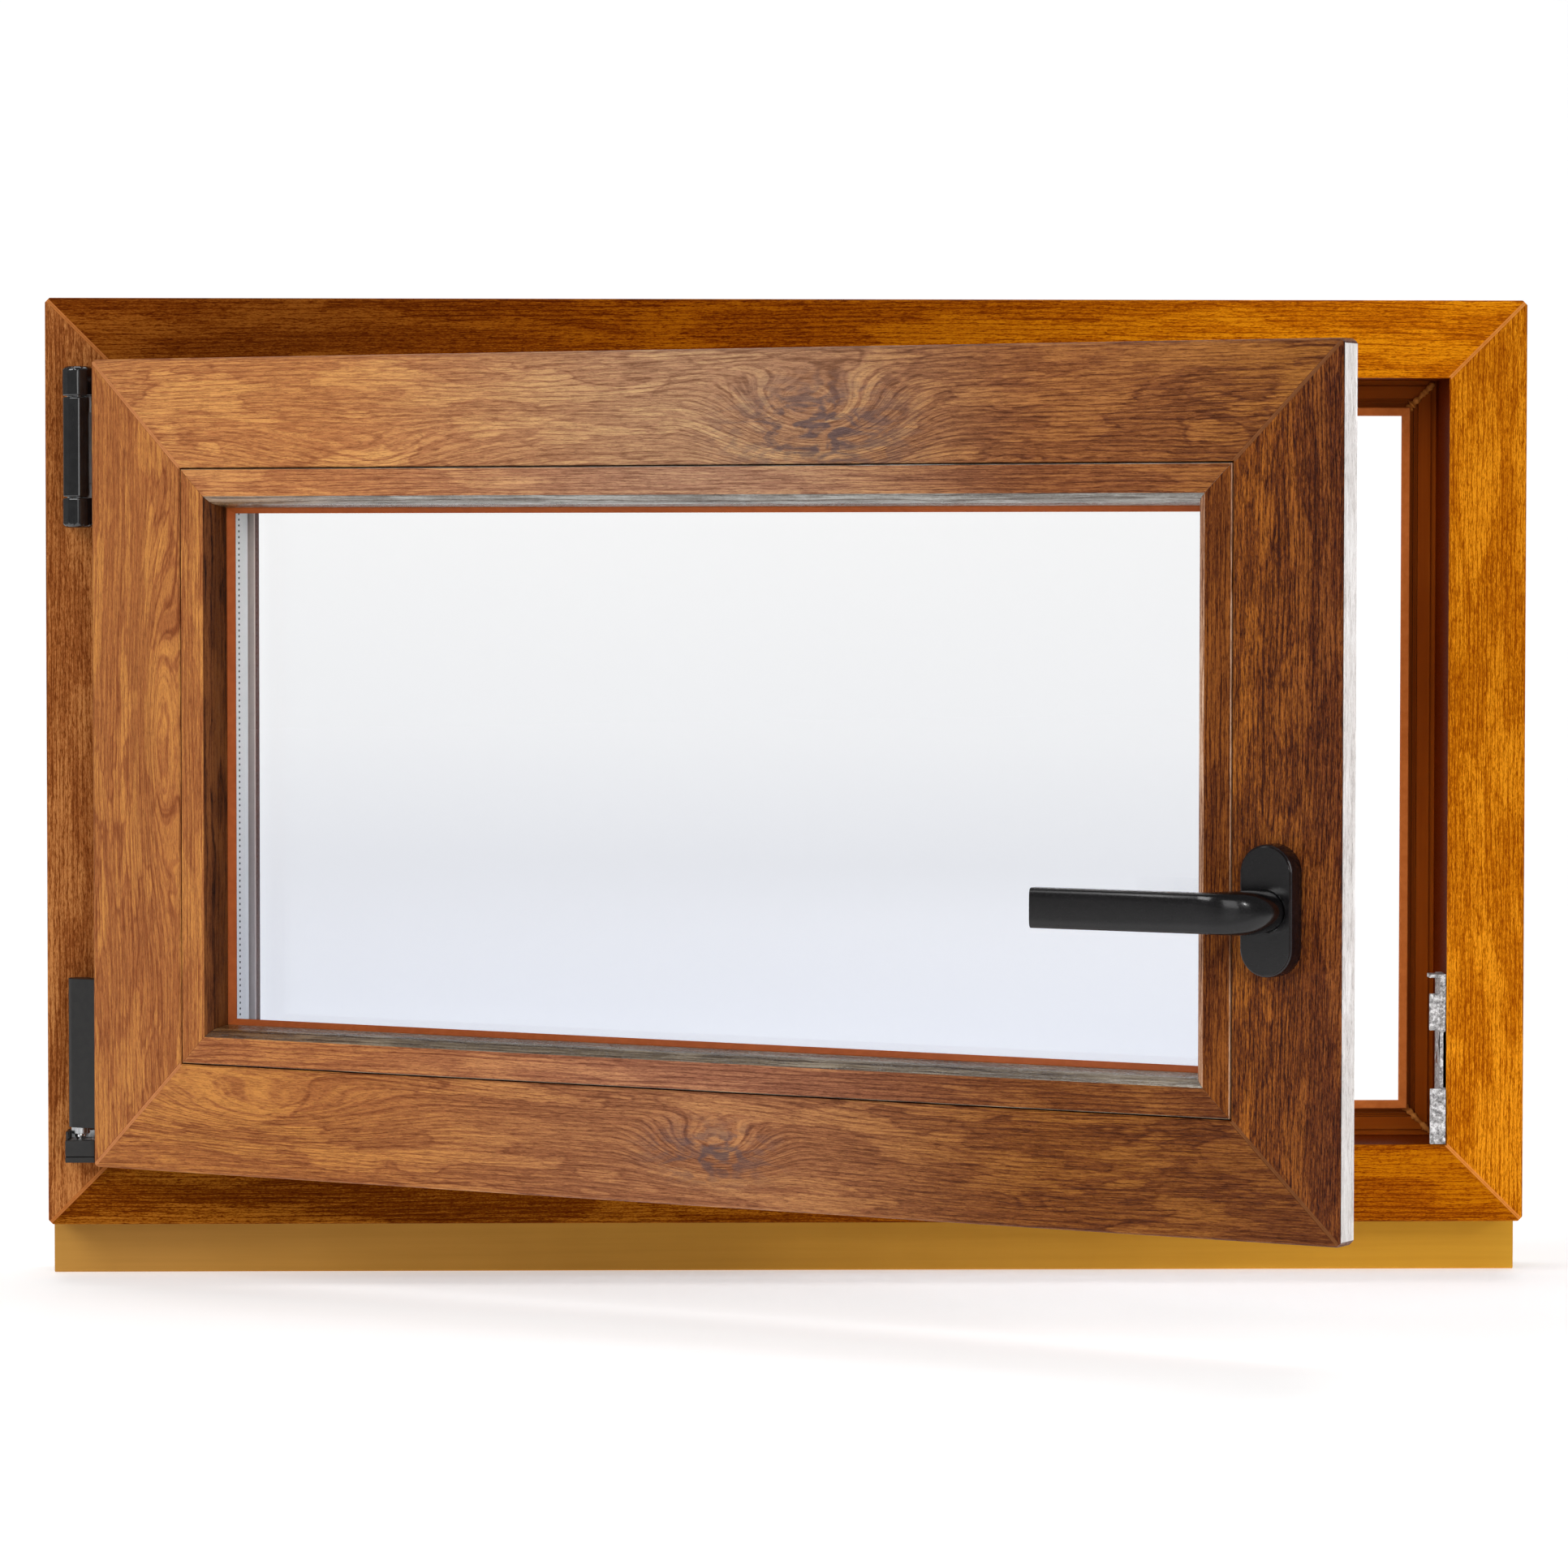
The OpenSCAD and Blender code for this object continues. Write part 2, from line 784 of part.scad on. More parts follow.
module handle_cuts() {
    box([spindle_x - 15, groove_y - 6.3, spindle_z - pocket_half],
        [body_x + 1, groove_y + 6.3, spindle_z + pocket_half]);
    translate([spindle_x, groove_y, spindle_z])
        rotate([90, 0, 0]) cylinder(r = 7, h = groove_w + 1);
    for (z = [-screw_gap / 2, screw_gap / 2])
        translate([spindle_x, groove_y, spindle_z + z])
            rotate([90, 0, 0]) cylinder(r = screw_r + 0.1, h = groove_w + 1);
}

module sash_bar(side) {
    length = side_length(side, sash_w, sash_h);
    color("peru")
        on_side(side, sash_w, sash_h, sash_y)
            difference() {
                mitred_bar(length, tip) sash_section();
                seams(length, sash_face, 0);
                seams(length, sash_face + 2, sash_d);
            }
}

module sash_top_rail() {
    swung() sash_bar("top");
}

module sash_bottom_rail() {
    swung() sash_bar("bottom");
}

module sash_hinge_stile() {
    swung() sash_bar("hinge");
}

module sash_lock_stile() {
    swung()
        difference() {
            sash_bar("lock");
            handle_cuts();
        }
}

module sash_reinforcement() {
    color("silver")
        swung()
            difference() {
                for (side = SIDES)
                    on_side(side, sash_w, sash_h, sash_y)
                        bar(side_length(side, sash_w, sash_h) - 2 * steel_cut - 20)
                            sash_steel_section();
                handle_cuts();
            }
}

gasket_h = 4.5;
low_gasket_h = 2.4;
corner_gasket_h = 1;

// The flange gasket is lower along the bottom, where the sash tips towards the frame
module sash_gasket() {
    color("saddlebrown")
        swung()
            difference() {
                for (side = SIDES)
                    on_side(side, sash_w, sash_h, sash_y)
                        mitred_bar(side_length(side, sash_w, sash_h))
                            sash_gasket_section(side == "bottom" ? low_gasket_h : gasket_h);
                box([-sash_x - 1, flange_back - 1, tab_z[0] - 6], [-body_x, face_y + 2, tab_z[1] + 6]);
                box([-sash_x - 1, flange_back - 1, sash_z - 1], [-body_x, face_y + 2, tilt_z + band_h]);
                box([body_x - 2, flange_back + corner_gasket_h, sash_z - 1],
                    [sash_x + 1, face_y + 2, tilt_z + 1]);
            }
}

module bead_bar(side) {
    color("peru")
        swung()
            on_side(side, sash_w, sash_h, sash_y)
                mitred_bar(side_length(side, sash_w, sash_h)) bead_section();
}

module bead_top() {
    bead_bar("top");
}

module bead_bottom() {
    bead_bar("bottom");
}

module bead_hinge() {
    bead_bar("hinge");
}

module bead_lock() {
    bead_bar("lock");
}

module bead_gasket() {
    color("saddlebrown")
        swung() ring(sash_w, sash_h, sash_y) bead_gasket_section();
}

module outer_glazing_gasket() {
    color("saddlebrown")
        swung() ring(sash_w, sash_h, sash_y) outer_gasket_section();
}

/* ---- Insulating glass ---- */

module glass_plate(margin, from, to) {
    box([-sash_x + margin, sash_y + from, sash_z + margin],
        [sash_x - margin, sash_y + to, sash_top - margin]);
}

module inner_pane() {
    color("lightblue") swung() glass_plate(glass_edge, glass_w, glass_w + pane_t);
}

module outer_pane() {
    color("lightblue") swung() glass_plate(glass_edge, glass_back - pane_t, glass_back);
}

spacer_in = glass_edge + 4;
spacer_w = 9.5;

module glass_spacer() {
    color("white")
        swung()
            ring(sash_w, sash_h, sash_y)
                difference() {
                    translate([spacer_in, glass_w + pane_t]) square([spacer_w, cavity_w]);
                    translate([spacer_in + 0.8, glass_w + pane_t + 0.8])
                        square([spacer_w - 1.6, cavity_w - 1.6]);
                }
}

module edge_sealant() {
    color("dimgray")
        swung()
            ring(sash_w, sash_h, sash_y)
                translate([glass_edge, glass_w + pane_t]) square([spacer_in - glass_edge, cavity_w]);
}

packer_l = 60;
packer_inset = 110;

// Packers hold the glass off the rebate: under both lower corners, and at the upper lock corner
module glazing_packers() {
    color("seagreen")
        swung() {
            for (x = [-sash_x + packer_inset, sash_x - packer_inset - packer_l])
                box([x, sash_y + glass_w + 1, sash_z + sash_face],
                    [x + packer_l, sash_y + glass_back - 1, sash_z + glass_edge]);
            for (z = [sash_z + packer_inset - 20, sash_top - packer_inset - packer_l + 20])
                for (low = [-sash_x + sash_face, sash_x - glass_edge])
                    box([low, sash_y + glass_w + 1, z],
                        [low + glass_edge - sash_face, sash_y + glass_back - 1, z + packer_l]);
        }
}

/* ---- Locking gear in the sash groove ---- */

faceplate_inner = faceplate_out - faceplate_t;

// A faceplate along X at height zero, with slots for what passes through it
module faceplate(from, to, slots) {
    difference() {
        box([from, -plate_half + 0.2, faceplate_inner], [to, plate_half - 0.2, faceplate_out]);
        for (slot = slots)
            box([slot[0], -slot[2], faceplate_inner - 1], [slot[1], slot[2], faceplate_out + 1]);
    }
}

cam_slot = stroke + stem_r + 1;

module in_lock_groove() {
    translate([body_x, groove_y, 0]) rotate([0, 90, 0]) mirror([1, 0, 0]) children();
}

module in_top_groove() {
    translate([0, groove_y, body_top]) children();
}

module in_bottom_groove() {
    translate([0, groove_y, body_bottom]) mirror([0, 0, 1]) children();
}

module lock_faceplate() {
    color("silver")
        swung()
            in_lock_groove()
                faceplate(body_bottom + plate_deep, body_top - plate_deep,
                    [[lock_cam_z - cam_slot, lock_cam_z + cam_slot, stem_r + 0.4]]);
}

module top_faceplate() {
    color("silver")
        swung()
            in_top_groove()
                faceplate(-body_x + 4, body_x - faceplate_t, [
                    [top_cam_x - cam_slot, top_cam_x + cam_slot, stem_r + 0.4],
                    [link_x - 12, link_x + 8, link_r + 1.6]
                ]);
}

module bottom_faceplate() {
    color("silver")
        swung()
            in_bottom_groove()
                faceplate(-body_x + 60, body_x - faceplate_t,
                    [[bottom_cam_x - cam_slot, bottom_cam_x + cam_slot, stem_r + 0.4]]);
}

// The corner drives are L-shaped guides below the rods: the spring strip inside turns the corner
module corner_drive() {
    deep = rod_deep - 0.6;
    shallow = rod_back + 0.5;
    leg = 70;
    difference() {
        union() {
            box([shallow, -5.2, shallow], [deep, 5.2, leg]);
            box([shallow, -5.2, shallow], [leg, 5.2, deep]);
        }
        box([shallow + 1.5, -4, shallow + 1.5], [deep - 1.5, 4, leg + 1]);
        box([shallow + 1.5, -4, shallow + 1.5], [leg + 1, 4, deep - 1.5]);
    }
}

module corner_drives() {
    color("silver")
        swung() {
            translate([body_x, groove_y, body_bottom]) mirror([1, 0, 0]) corner_drive();
            translate([body_x, groove_y, body_top]) mirror([0, 0, 1]) mirror([1, 0, 0]) corner_drive();
        }
}

hub_r = 6;
gear_half = 3.5;
gear_root = pitch_r - 1.3;
gear_tip = pitch_r + 0.9;

module gearbox_case() {
    color("silver")
        swung()
            translate([spindle_x, groove_y, spindle_z])
                difference() {
                    box([-14, -6, -pocket_half + 0.5],
                        [backset - rod_back - 0.2, 6, pocket_half - 0.5]);
                    rotate([90, 0, 0]) cylinder(r = gear_tip + 0.5, h = 2 * gear_half + 1, center = true);
                    rotate([90, 0, 0]) cylinder(r = hub_r + fit, h = 14, center = true);
                    box([6, -rod_w / 2 - 0.3, -pocket_half - 1], [backset, rod_w / 2 + 0.3, pocket_half + 1]);
                    for (z = [-screw_gap / 2, screw_gap / 2])
                        translate([0, 0, z])
                            rotate([90, 0, 0]) cylinder(r = screw_r + fit, h = 14, center = true);
                }
}

module gearbox_screws() {
    color("silver")
        swung()
            for (z = [-screw_gap / 2, screw_gap / 2])
                translate([spindle_x, sash_y, spindle_z + z])
                    rotate([-90, 0, 0]) {
                        cylinder(r = screw_r, h = groove_w + 5);
                        translate([0, 0, -5]) cylinder(r = 4.2, h = 2);
                        translate([0, 0, -5]) cylinder(r = screw_r, h = 6);
                    }
}

module pinion() {
    color("silver")
        swung()
            translate([spindle_x, groove_y, spindle_z])
                rotate([90, 0, 0])
                    difference() {
                        union() {
                            cylinder(r = gear_root, h = 2 * gear_half, center = true);
                            cylinder(r = hub_r, h = 11.6, center = true);
                            linear_extrude(2 * gear_half, center = true)
                                for (i = [0 : pinion_teeth - 1])
                                    rotate(i * 360 / pinion_teeth)
                                        polygon([
                                            [gear_root - 0.6, -1.15], [gear_tip, -0.45],
                                            [gear_tip, 0.45], [gear_root - 0.6, 1.15]
                                        ]);
                        }
                        cube([spindle_size + 2 * fit, spindle_size + 2 * fit, 20], center = true);
                    }
}

// A drive rod along X at height zero of the groove, moving between its two corner drives
module rod_strip(from, to) {
    box([from, -rod_w / 2, -rod_back], [to, rod_w / 2, -rod_back + rod_t]);
}

rack_half = stroke + 12;
rack_root = backset - rod_back + 1;
rack_tip = pitch_r - 1.1;

module lock_rod() {
    color("silver")
        swung() {
            difference() {
                in_lock_groove() rod_strip(body_bottom + 24, body_top - 24);
                box([spindle_x, groove_y - 10, spindle_z - rack_half],
                    [spindle_x + rack_root, groove_y + 10, spindle_z + rack_half]);
            }
            translate([spindle_x, groove_y + rod_w / 2, spindle_z])
                rotate([90, 0, 0])
                    linear_extrude(rod_w)
                        for (i = [-6 : 5])
                            translate([0, (i + 0.5) * tooth_pitch])
                                polygon([
                                    [rack_root + 0.2, -1.15], [rack_tip, -0.4],
                                    [rack_tip, 0.4], [rack_root + 0.2, 1.15]
                                ]);
        }
}

module rod_cam() {
    translate([0, 0, -rod_back + rod_t]) cylinder(r = stem_r, h = rod_back - rod_t + 1);
    translate([0, 0, 0.7]) cylinder(r = cam_r, h = cam_out - 0.7);
}

module lock_cam() {
    color("gainsboro")
        swung() in_lock_groove() translate([lock_cam_z, 0, 0]) rod_cam();
}

module top_rod() {
    color("silver")
        swung() in_top_groove() rod_strip(top_cam_x - 20, body_x - 24);
}

module top_cam() {
    color("gainsboro")
        swung() in_top_groove() translate([top_cam_x, 0, 0]) rod_cam();
}

module bottom_rod() {
    color("silver")
        swung() in_bottom_groove() rod_strip(bottom_cam_x - 20, body_x - 24);
}

module bottom_cam() {
    color("gainsboro")
        swung() in_bottom_groove() translate([bottom_cam_x, 0, 0]) rod_cam();
}

/* ---- Handle ---- */

collar_r = 7;
neck_r = 10;
bend_r = 21;
BEND_STEPS = 8;
lever_mid = lever_out - lever_t / 2;

module at_spindle() {
    translate([spindle_x, sash_y, spindle_z]) rotate([90, 0, 0]) children();
}

// A plate with round ends along Y and a soft rim at its top
module soft_stadium(w, l, h, soft) {
    r = w / 2;
    rim = concat([[0, 0], [r, 0]], arc([r - soft, h - soft], soft, 0, 90), [[0, h]]);
    for (end = [-1, 1])
        translate([0, end * (l / 2 - r), 0]) rotate_extrude() polygon(rim);
    for (side = [0, 1])
        mirror([side, 0, 0])
            rotate([90, 0, 0]) linear_extrude(l - w, center = true) polygon(rim);
}

module rosette_base() {
    base_t = 3;
    color("silver")
        swung()
            at_spindle()
                difference() {
                    union() {
                        translate([-rosette_w / 2 + 3, -rosette_l / 2 + 14, 0])
                            cube([rosette_w - 6, rosette_l - 28, base_t]);
                        for (end = [-1, 1])
                            translate([0, end * (rosette_l / 2 - 14), 0])
                                cylinder(r = rosette_w / 2 - 3, h = base_t);
                        cylinder(r = collar_r + 1.8, h = rosette_h - 2);
                    }
                    translate([0, 0, -1]) cylinder(r = collar_r + fit, h = rosette_h + 2);
                    for (end = [-1, 1])
                        translate([0, end * screw_gap / 2, -1]) cylinder(r = screw_r + 0.1, h = base_t + 2);
                }
}

module rosette_cover() {
    skin = 1.5;
    color("black")
        swung()
            at_spindle()
                difference() {
                    soft_stadium(rosette_w, rosette_l, rosette_h, 1.4);
                    translate([0, 0, -0.1])
                        soft_stadium(rosette_w - 2 * skin, rosette_l - 2 * skin, rosette_h - skin, 0.6);
                    cylinder(r = neck_r + 0.4, h = rosette_h + 1);
                }
}

STATION_POINTS = 32;
END_STEPS = [[2, 0], [0.6, 1.2], [0, 3]];

// One ring of the lever: round at the neck, a soft rectangle further out
function lever_ring(along, out, turn, w, t, square_exp) =
    [for (i = [0 : STATION_POINTS - 1])
        let (
            a = i * 360 / STATION_POINTS,
            x = sign(cos(a)) * t / 2 * pow(abs(cos(a)), 2 / square_exp),
            y = sign(sin(a)) * w / 2 * pow(abs(sin(a)), 2 / square_exp)
        )
        [-along + x * cos(turn), y, out + x * sin(turn)]];

function bend_ring(part) =
    lever_ring(
        bend_r * (1 - cos(90 * part)), lever_mid - bend_r * (1 - sin(90 * part)), 90 * part,
        2 * neck_r + 2.6 * sin(180 * part) + (lever_w - 2 * neck_r) * part,
        2 * neck_r + (lever_t - 2 * neck_r) * part, 2 + 2.6 * part
    );

function lever_rings() =
    concat(
        [lever_ring(0, rosette_h - 1.8, 0, 2 * neck_r, 2 * neck_r, 2)],
        [for (i = [0 : BEND_STEPS]) bend_ring(i / BEND_STEPS)],
        [for (end = END_STEPS)
            lever_ring(lever_l - end[0], lever_mid, 90, lever_w - end[1], lever_t - end[1], 4.6)]
    );

// A closed skin over rings that all have the same number of points
module loft(rings) {
    n = len(rings[0]);
    last = len(rings) - 1;
    polyhedron(
        points = [for (ring = rings) for (point = ring) point],
        faces = concat(
            [[for (i = [0 : n - 1]) i]],
            [for (k = [0 : last - 1]) for (i = [0 : n - 1])
                [k * n + i, (k + 1) * n + i, (k + 1) * n + (i + 1) % n, k * n + (i + 1) % n]],
            [[for (i = [n - 1 : -1 : 0]) last * n + i]]
        )
    );
}

module handle_lever() {
    socket = spindle_size + 2 * fit;
    color("black")
        swung()
            at_spindle() {
                difference() {
                    translate([0, 0, 0.5]) cylinder(r = collar_r, h = rosette_h);
                    translate([0, 0, 4.5]) cube([socket, socket, 8.2], center = true);
                }
                loft(lever_rings());
            }
}

module spindle() {
    color("silver")
        swung()
            at_spindle()
                translate([-spindle_size / 2, -spindle_size / 2, -groove_w - 5.5])
                    cube([spindle_size, spindle_size, groove_w + 5.5 + 8]);
}

frame_head();
frame_sill();
frame_hinge_jamb();
frame_lock_jamb();
base_profile();
frame_reinforcement();
frame_gasket();
drain_caps();
stay_bearing();
stay_bearing_caps();
stay_bearing_pin();
corner_bearing();
corner_bearing_cap();
tilt_strike();
head_strike();
sill_strike();
strike_screws();
pivot_pin();
stay_arm();
stay_arm_cover();
sash_top_rail();
sash_bottom_rail();
sash_hinge_stile();
sash_lock_stile();
sash_reinforcement();
sash_gasket();
bead_top();
bead_bottom();
bead_hinge();
bead_lock();
bead_gasket();
outer_glazing_gasket();
inner_pane();
outer_pane();
glass_spacer();
edge_sealant();
glazing_packers();
hinge_band();
hinge_band_cover();
lock_faceplate();
top_faceplate();
bottom_faceplate();
corner_drives();
gearbox_case();
gearbox_screws();
rosette_base();
rosette_cover();
handle_lever();
spindle();
pinion();
lock_rod();
lock_cam();
top_rod();
top_cam();
bottom_rod();
bottom_cam();
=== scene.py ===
import json
import math
import random

import bpy
import bmesh
from mathutils import Matrix, Vector


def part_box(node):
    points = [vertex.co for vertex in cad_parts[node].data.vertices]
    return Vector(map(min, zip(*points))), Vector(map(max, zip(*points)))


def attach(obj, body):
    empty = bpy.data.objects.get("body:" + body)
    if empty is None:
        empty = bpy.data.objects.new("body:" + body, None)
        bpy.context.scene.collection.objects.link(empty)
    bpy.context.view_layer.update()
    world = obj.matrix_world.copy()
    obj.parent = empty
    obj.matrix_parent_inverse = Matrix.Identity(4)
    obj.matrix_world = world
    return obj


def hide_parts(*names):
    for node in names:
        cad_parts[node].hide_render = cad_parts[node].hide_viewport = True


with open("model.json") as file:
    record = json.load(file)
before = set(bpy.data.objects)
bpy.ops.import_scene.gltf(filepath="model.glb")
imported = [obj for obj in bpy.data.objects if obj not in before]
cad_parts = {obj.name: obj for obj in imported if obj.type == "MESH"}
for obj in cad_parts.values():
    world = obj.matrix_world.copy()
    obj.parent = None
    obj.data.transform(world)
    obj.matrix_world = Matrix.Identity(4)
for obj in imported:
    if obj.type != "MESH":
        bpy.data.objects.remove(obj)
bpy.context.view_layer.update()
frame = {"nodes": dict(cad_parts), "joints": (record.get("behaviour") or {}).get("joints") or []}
nodes = frame["nodes"]
joints = {joint["name"]: joint for joint in frame["joints"]}

MM = 0.001
OPEN = math.radians(31.4)  # how far the sash is drawn open
HINGE = Vector((*joints["turn"]["pos_m"][:2], 0))
SPINDLE = Vector(joints["handle_turn"]["pos_m"])


def swung(point):
    """A point of the closed sash, where the open sash has it."""
    return HINGE + Matrix.Rotation(-OPEN, 3, "Z") @ (Vector(point) - HINGE)


def closed(point):
    """A point of the open sash, where the closed sash has it."""
    return HINGE + Matrix.Rotation(OPEN, 3, "Z") @ (Vector(point) - HINGE)


def turned(direction):
    """A direction on the open sash, as it is on the closed one."""
    return Matrix.Rotation(OPEN, 3, "Z") @ Vector(direction)


def sash_depths(name):
    """How deep each point of a CAD node lies along Y on the closed sash."""
    return [closed(vertex.co).y for vertex in nodes[name].data.vertices]


def srgb(*levels):
    """A linear colour from red, green and blue levels between 0 and 255."""
    shares = [level / 255 for level in levels]
    return (*(c / 12.92 if c < 0.04045 else ((c + 0.055) / 1.055) ** 2.4 for c in shares), 1)


# ---------------------------------------------------------------- materials


class Net:
    """A material's node tree, with short names for the nodes it is built from."""

    def __init__(self, name, roughness=0.5, specular=0.5, metallic=0.0):
        self.mat = bpy.data.materials.new(name)
        self.mat.use_nodes = True
        self.tree = self.mat.node_tree
        self.shader = self.tree.nodes["Principled BSDF"]
        self.set("Roughness", roughness)
        self.set("Specular IOR Level", specular)
        self.set("Metallic", metallic)
        self.place = self.add("TexCoord").outputs["Object"]

    def add(self, kind, inputs=(), **settings):
        node = self.tree.nodes.new("ShaderNode" + kind)
        for name, value in settings.items():
            setattr(node, name, value)
        for socket, value in dict(inputs).items():
            self.feed(node.inputs[socket], value)
        return node

    def feed(self, socket, value):
        if isinstance(value, bpy.types.NodeSocket):
            self.tree.links.new(value, socket)
        else:
            socket.default_value = value

    def set(self, socket, value):
        self.feed(self.shader.inputs[socket], value)

    def mapped(self, vector, location=(0, 0, 0), rotation=(0, 0, 0), scale=(1, 1, 1), kind="POINT"):
        inputs = {"Vector": vector, "Location": location, "Rotation": rotation, "Scale": scale}
        return self.add("Mapping", inputs, vector_type=kind).outputs[0]

    def noise(self, vector, scale=1.0, detail=2.0, rough=0.5, warp=0.0):
        inputs = {"Vector": vector, "Scale": scale, "Detail": detail, "Roughness": rough, "Distortion": warp}
        return self.add("TexNoise", inputs).outputs["Fac"]

    def sum(self, kind, a, b=0.0, clamp=False):
        return self.add("Math", {0: a, 1: b}, operation=kind, use_clamp=clamp).outputs[0]

    def plus(self, value, mark, weight):
        """value and weight times mark, added."""
        return self.sum("ADD", value, self.sum("MULTIPLY", mark, weight))

    def span(self, value, low, high, to_low=0.0, to_high=1.0, smooth=True):
        """value carried from the span low..high to the span to_low..to_high, and held at its ends."""
        inputs = {"Value": value, "From Min": low, "From Max": high, "To Min": to_low, "To Max": to_high}
        kind = "SMOOTHSTEP" if smooth else "LINEAR"
        return self.add("MapRange", inputs, interpolation_type=kind).outputs[0]

    def mix(self, share, a, b, kind="MIX"):
        node = self.add("Mix", {"Factor": share}, data_type="RGBA", blend_type=kind)
        self.feed(node.inputs[6], a)
        self.feed(node.inputs[7], b)
        return node.outputs[2]

    def ramp(self, value, colours, places=None):
        node = self.add("ValToRGB", {"Fac": value})
        marks = node.color_ramp.elements
        places = places or [i / (len(colours) - 1) for i in range(len(colours))]
        while len(marks) < len(colours):
            marks.new(0.5)
        for mark, place, colour in zip(marks, places, colours):
            mark.position = place
            mark.color = colour
        return node.outputs[0]

    def axis(self, vector, name):
        return self.add("SeparateXYZ", {"Vector": vector}).outputs[name]

    def bump(self, height, strength=0.5, distance=0.0003):
        out = self.add("Bump", {"Height": height, "Strength": strength, "Distance": distance})
        self.set("Normal", out.outputs["Normal"])
        return self.mat


def sash_place(net):
    """The surface's place on the closed sash, measured from the hinge axis."""
    return net.mapped(net.place, tuple(HINGE), (0, 0, -OPEN), kind="TEXTURE")


def dimmed(stops, red, green, blue):
    """A foil's colour stops with each channel multiplied."""
    return [(x, [(r * red, g * green, b * blue, 1) for r, g, b, _ in tones]) for x, tones in stops]


def foil(name, along, stops, on_sash=False, seed=0.0, figure=0.45, knots=(), relief=0.7, fine=0.35,
         roughness=0.42, lines=0.6, spacing=400.0, gloss=0.12, patchy=0.27, patch_size=(84, 15)):
    """Printed and embossed wood-grain foil whose grain runs along X or Z.

    stops are (x, [dark, middle, light]): the colours drift from one stop to the next across the window.
    knots are (x, z, width, height, turns, dark) on the closed sash: the lines bend round each knot by
    turns, in millimetres, and dark is how strongly a grey cloud covers the knot, partly smoke in the print
    and partly a painted glare. figure, lines, fine and patchy are the strengths of the broad figure, the
    drawn lines, the pores and the golden patches.
    """
    net = Net(name, specular=gloss)
    place = sash_place(net) if on_sash else net.place
    across = "Z" if along == "X" else "X"
    offset = (seed * 1.37, seed * 0.71, seed * 2.13)

    def stretched(over, down, start=place):
        scale = [over, over, over]
        scale["XYZ".index(along)] = down
        return net.mapped(start, offset, (0, 0, 0), scale)

    bend = net.noise(stretched(13, 2.2), detail=2, rough=0.4)
    shift = net.sum("MULTIPLY", bend, 0.07 * figure)
    near_all = smoke_and_glare = 0.0
    for x, z, width, height, turns, dark in knots:
        far = net.mapped(place, (-x / width, 0, -z / height), (0, 0, 0), (1 / width, 0, 1 / height))
        far = net.add("VectorMath", {0: far}, operation="LENGTH").outputs["Value"]
        near = net.span(far, 0, 1, 1, 0)
        near_all = net.sum("ADD", near_all, near)
        shift = net.plus(shift, near, turns * MM)
        cloud = net.span(net.noise(stretched(150, 60), detail=3, warp=1.5), 0.4, 0.62)
        smoke_and_glare = net.plus(smoke_and_glare, net.sum("MULTIPLY", near, cloud), dark)
    moved = net.add("CombineXYZ", {across: shift}).outputs[0]
    flow = net.add("VectorMath", {0: place, 1: moved}, operation="ADD").outputs[0]

    wobble = net.noise(stretched(130, 26), detail=2)
    patch = net.noise(stretched(*patch_size, flow), detail=3, rough=0.55, warp=0.4)
    rings = net.plus(net.sum("MULTIPLY", net.axis(flow, across), spacing), wobble, 1.3)
    rings = net.plus(rings, patch, 7.0 * figure)
    ring = net.span(net.sum("PINGPONG", rings, 0.5), 0.3, 0.46)
    worn = net.noise(stretched(900, 90), detail=2, rough=0.6)
    ring = net.sum("MULTIPLY", ring, net.span(worn, 0.36, 0.54, 0.5, 1))
    zone = net.span(net.noise(stretched(34, 5), detail=1), 0.36, 0.6, 0.4, 1)
    zone = net.sum("MAXIMUM", zone, near_all)
    ring = net.sum("MULTIPLY", ring, zone)
    contour = net.span(net.sum("ABSOLUTE", net.sum("SUBTRACT", patch, 0.5)), 0.004, 0.03, 1, 0)
    contour = net.sum("MULTIPLY", contour, zone)
    long_lines = net.span(net.noise(stretched(760, 8, flow), detail=3, rough=0.7), 0.44, 0.62)
    short_lines = net.span(net.noise(stretched(1250, 46, flow), detail=2, rough=0.6), 0.48, 0.62)
    pores = net.span(net.noise(stretched(1700, 210), detail=2, rough=0.6), 0.52, 0.64)
    grit = net.noise(stretched(1900, 620), detail=2, rough=0.7)
    gold = net.span(patch, 0.44, 0.62)

    even = 0.76  # halfway between a golden patch and the rest
    tone = net.span(gold, 0, 1, even - patchy / 2, even + patchy / 2, smooth=False)
    for mark, weight in ((ring, 0.75 * lines), (contour, 0.7 * figure), (long_lines, 0.36 * lines),
                         (short_lines, 0.42 * lines), (pores, 0.55 * fine)):
        tone = net.plus(tone, mark, -weight)
    tone = net.sum("ADD", tone, net.span(grit, 0.34, 0.66, -0.25 * fine, 0.25 * fine, smooth=False))
    tone = net.sum("ADD", tone, 0.1, clamp=True)
    last, tones = stops[0]
    colour = net.ramp(tone, tones)
    for x, tones in stops[1:]:
        here = net.ramp(tone, tones)
        colour = net.mix(net.span(net.axis(net.place, "X"), last, x), colour, here)
        last = x
    if knots:
        # the grey cloud round the knots: partly smoke in the print, partly a painted glare
        colour = net.mix(net.sum("MINIMUM", smoke_and_glare, 0.8), colour, srgb(92, 76, 78))
    net.set("Base Color", colour)
    net.set("Roughness", net.span(pores, 0, 1, roughness, roughness + 0.2, smooth=False))
    height = net.sum("MULTIPLY", pores, -0.8)
    for mark, weight in ((grit, 0.9), (short_lines, -0.7), (long_lines, -0.3)):
        height = net.plus(height, mark, weight)
    return net.bump(height, relief, 0.0005)


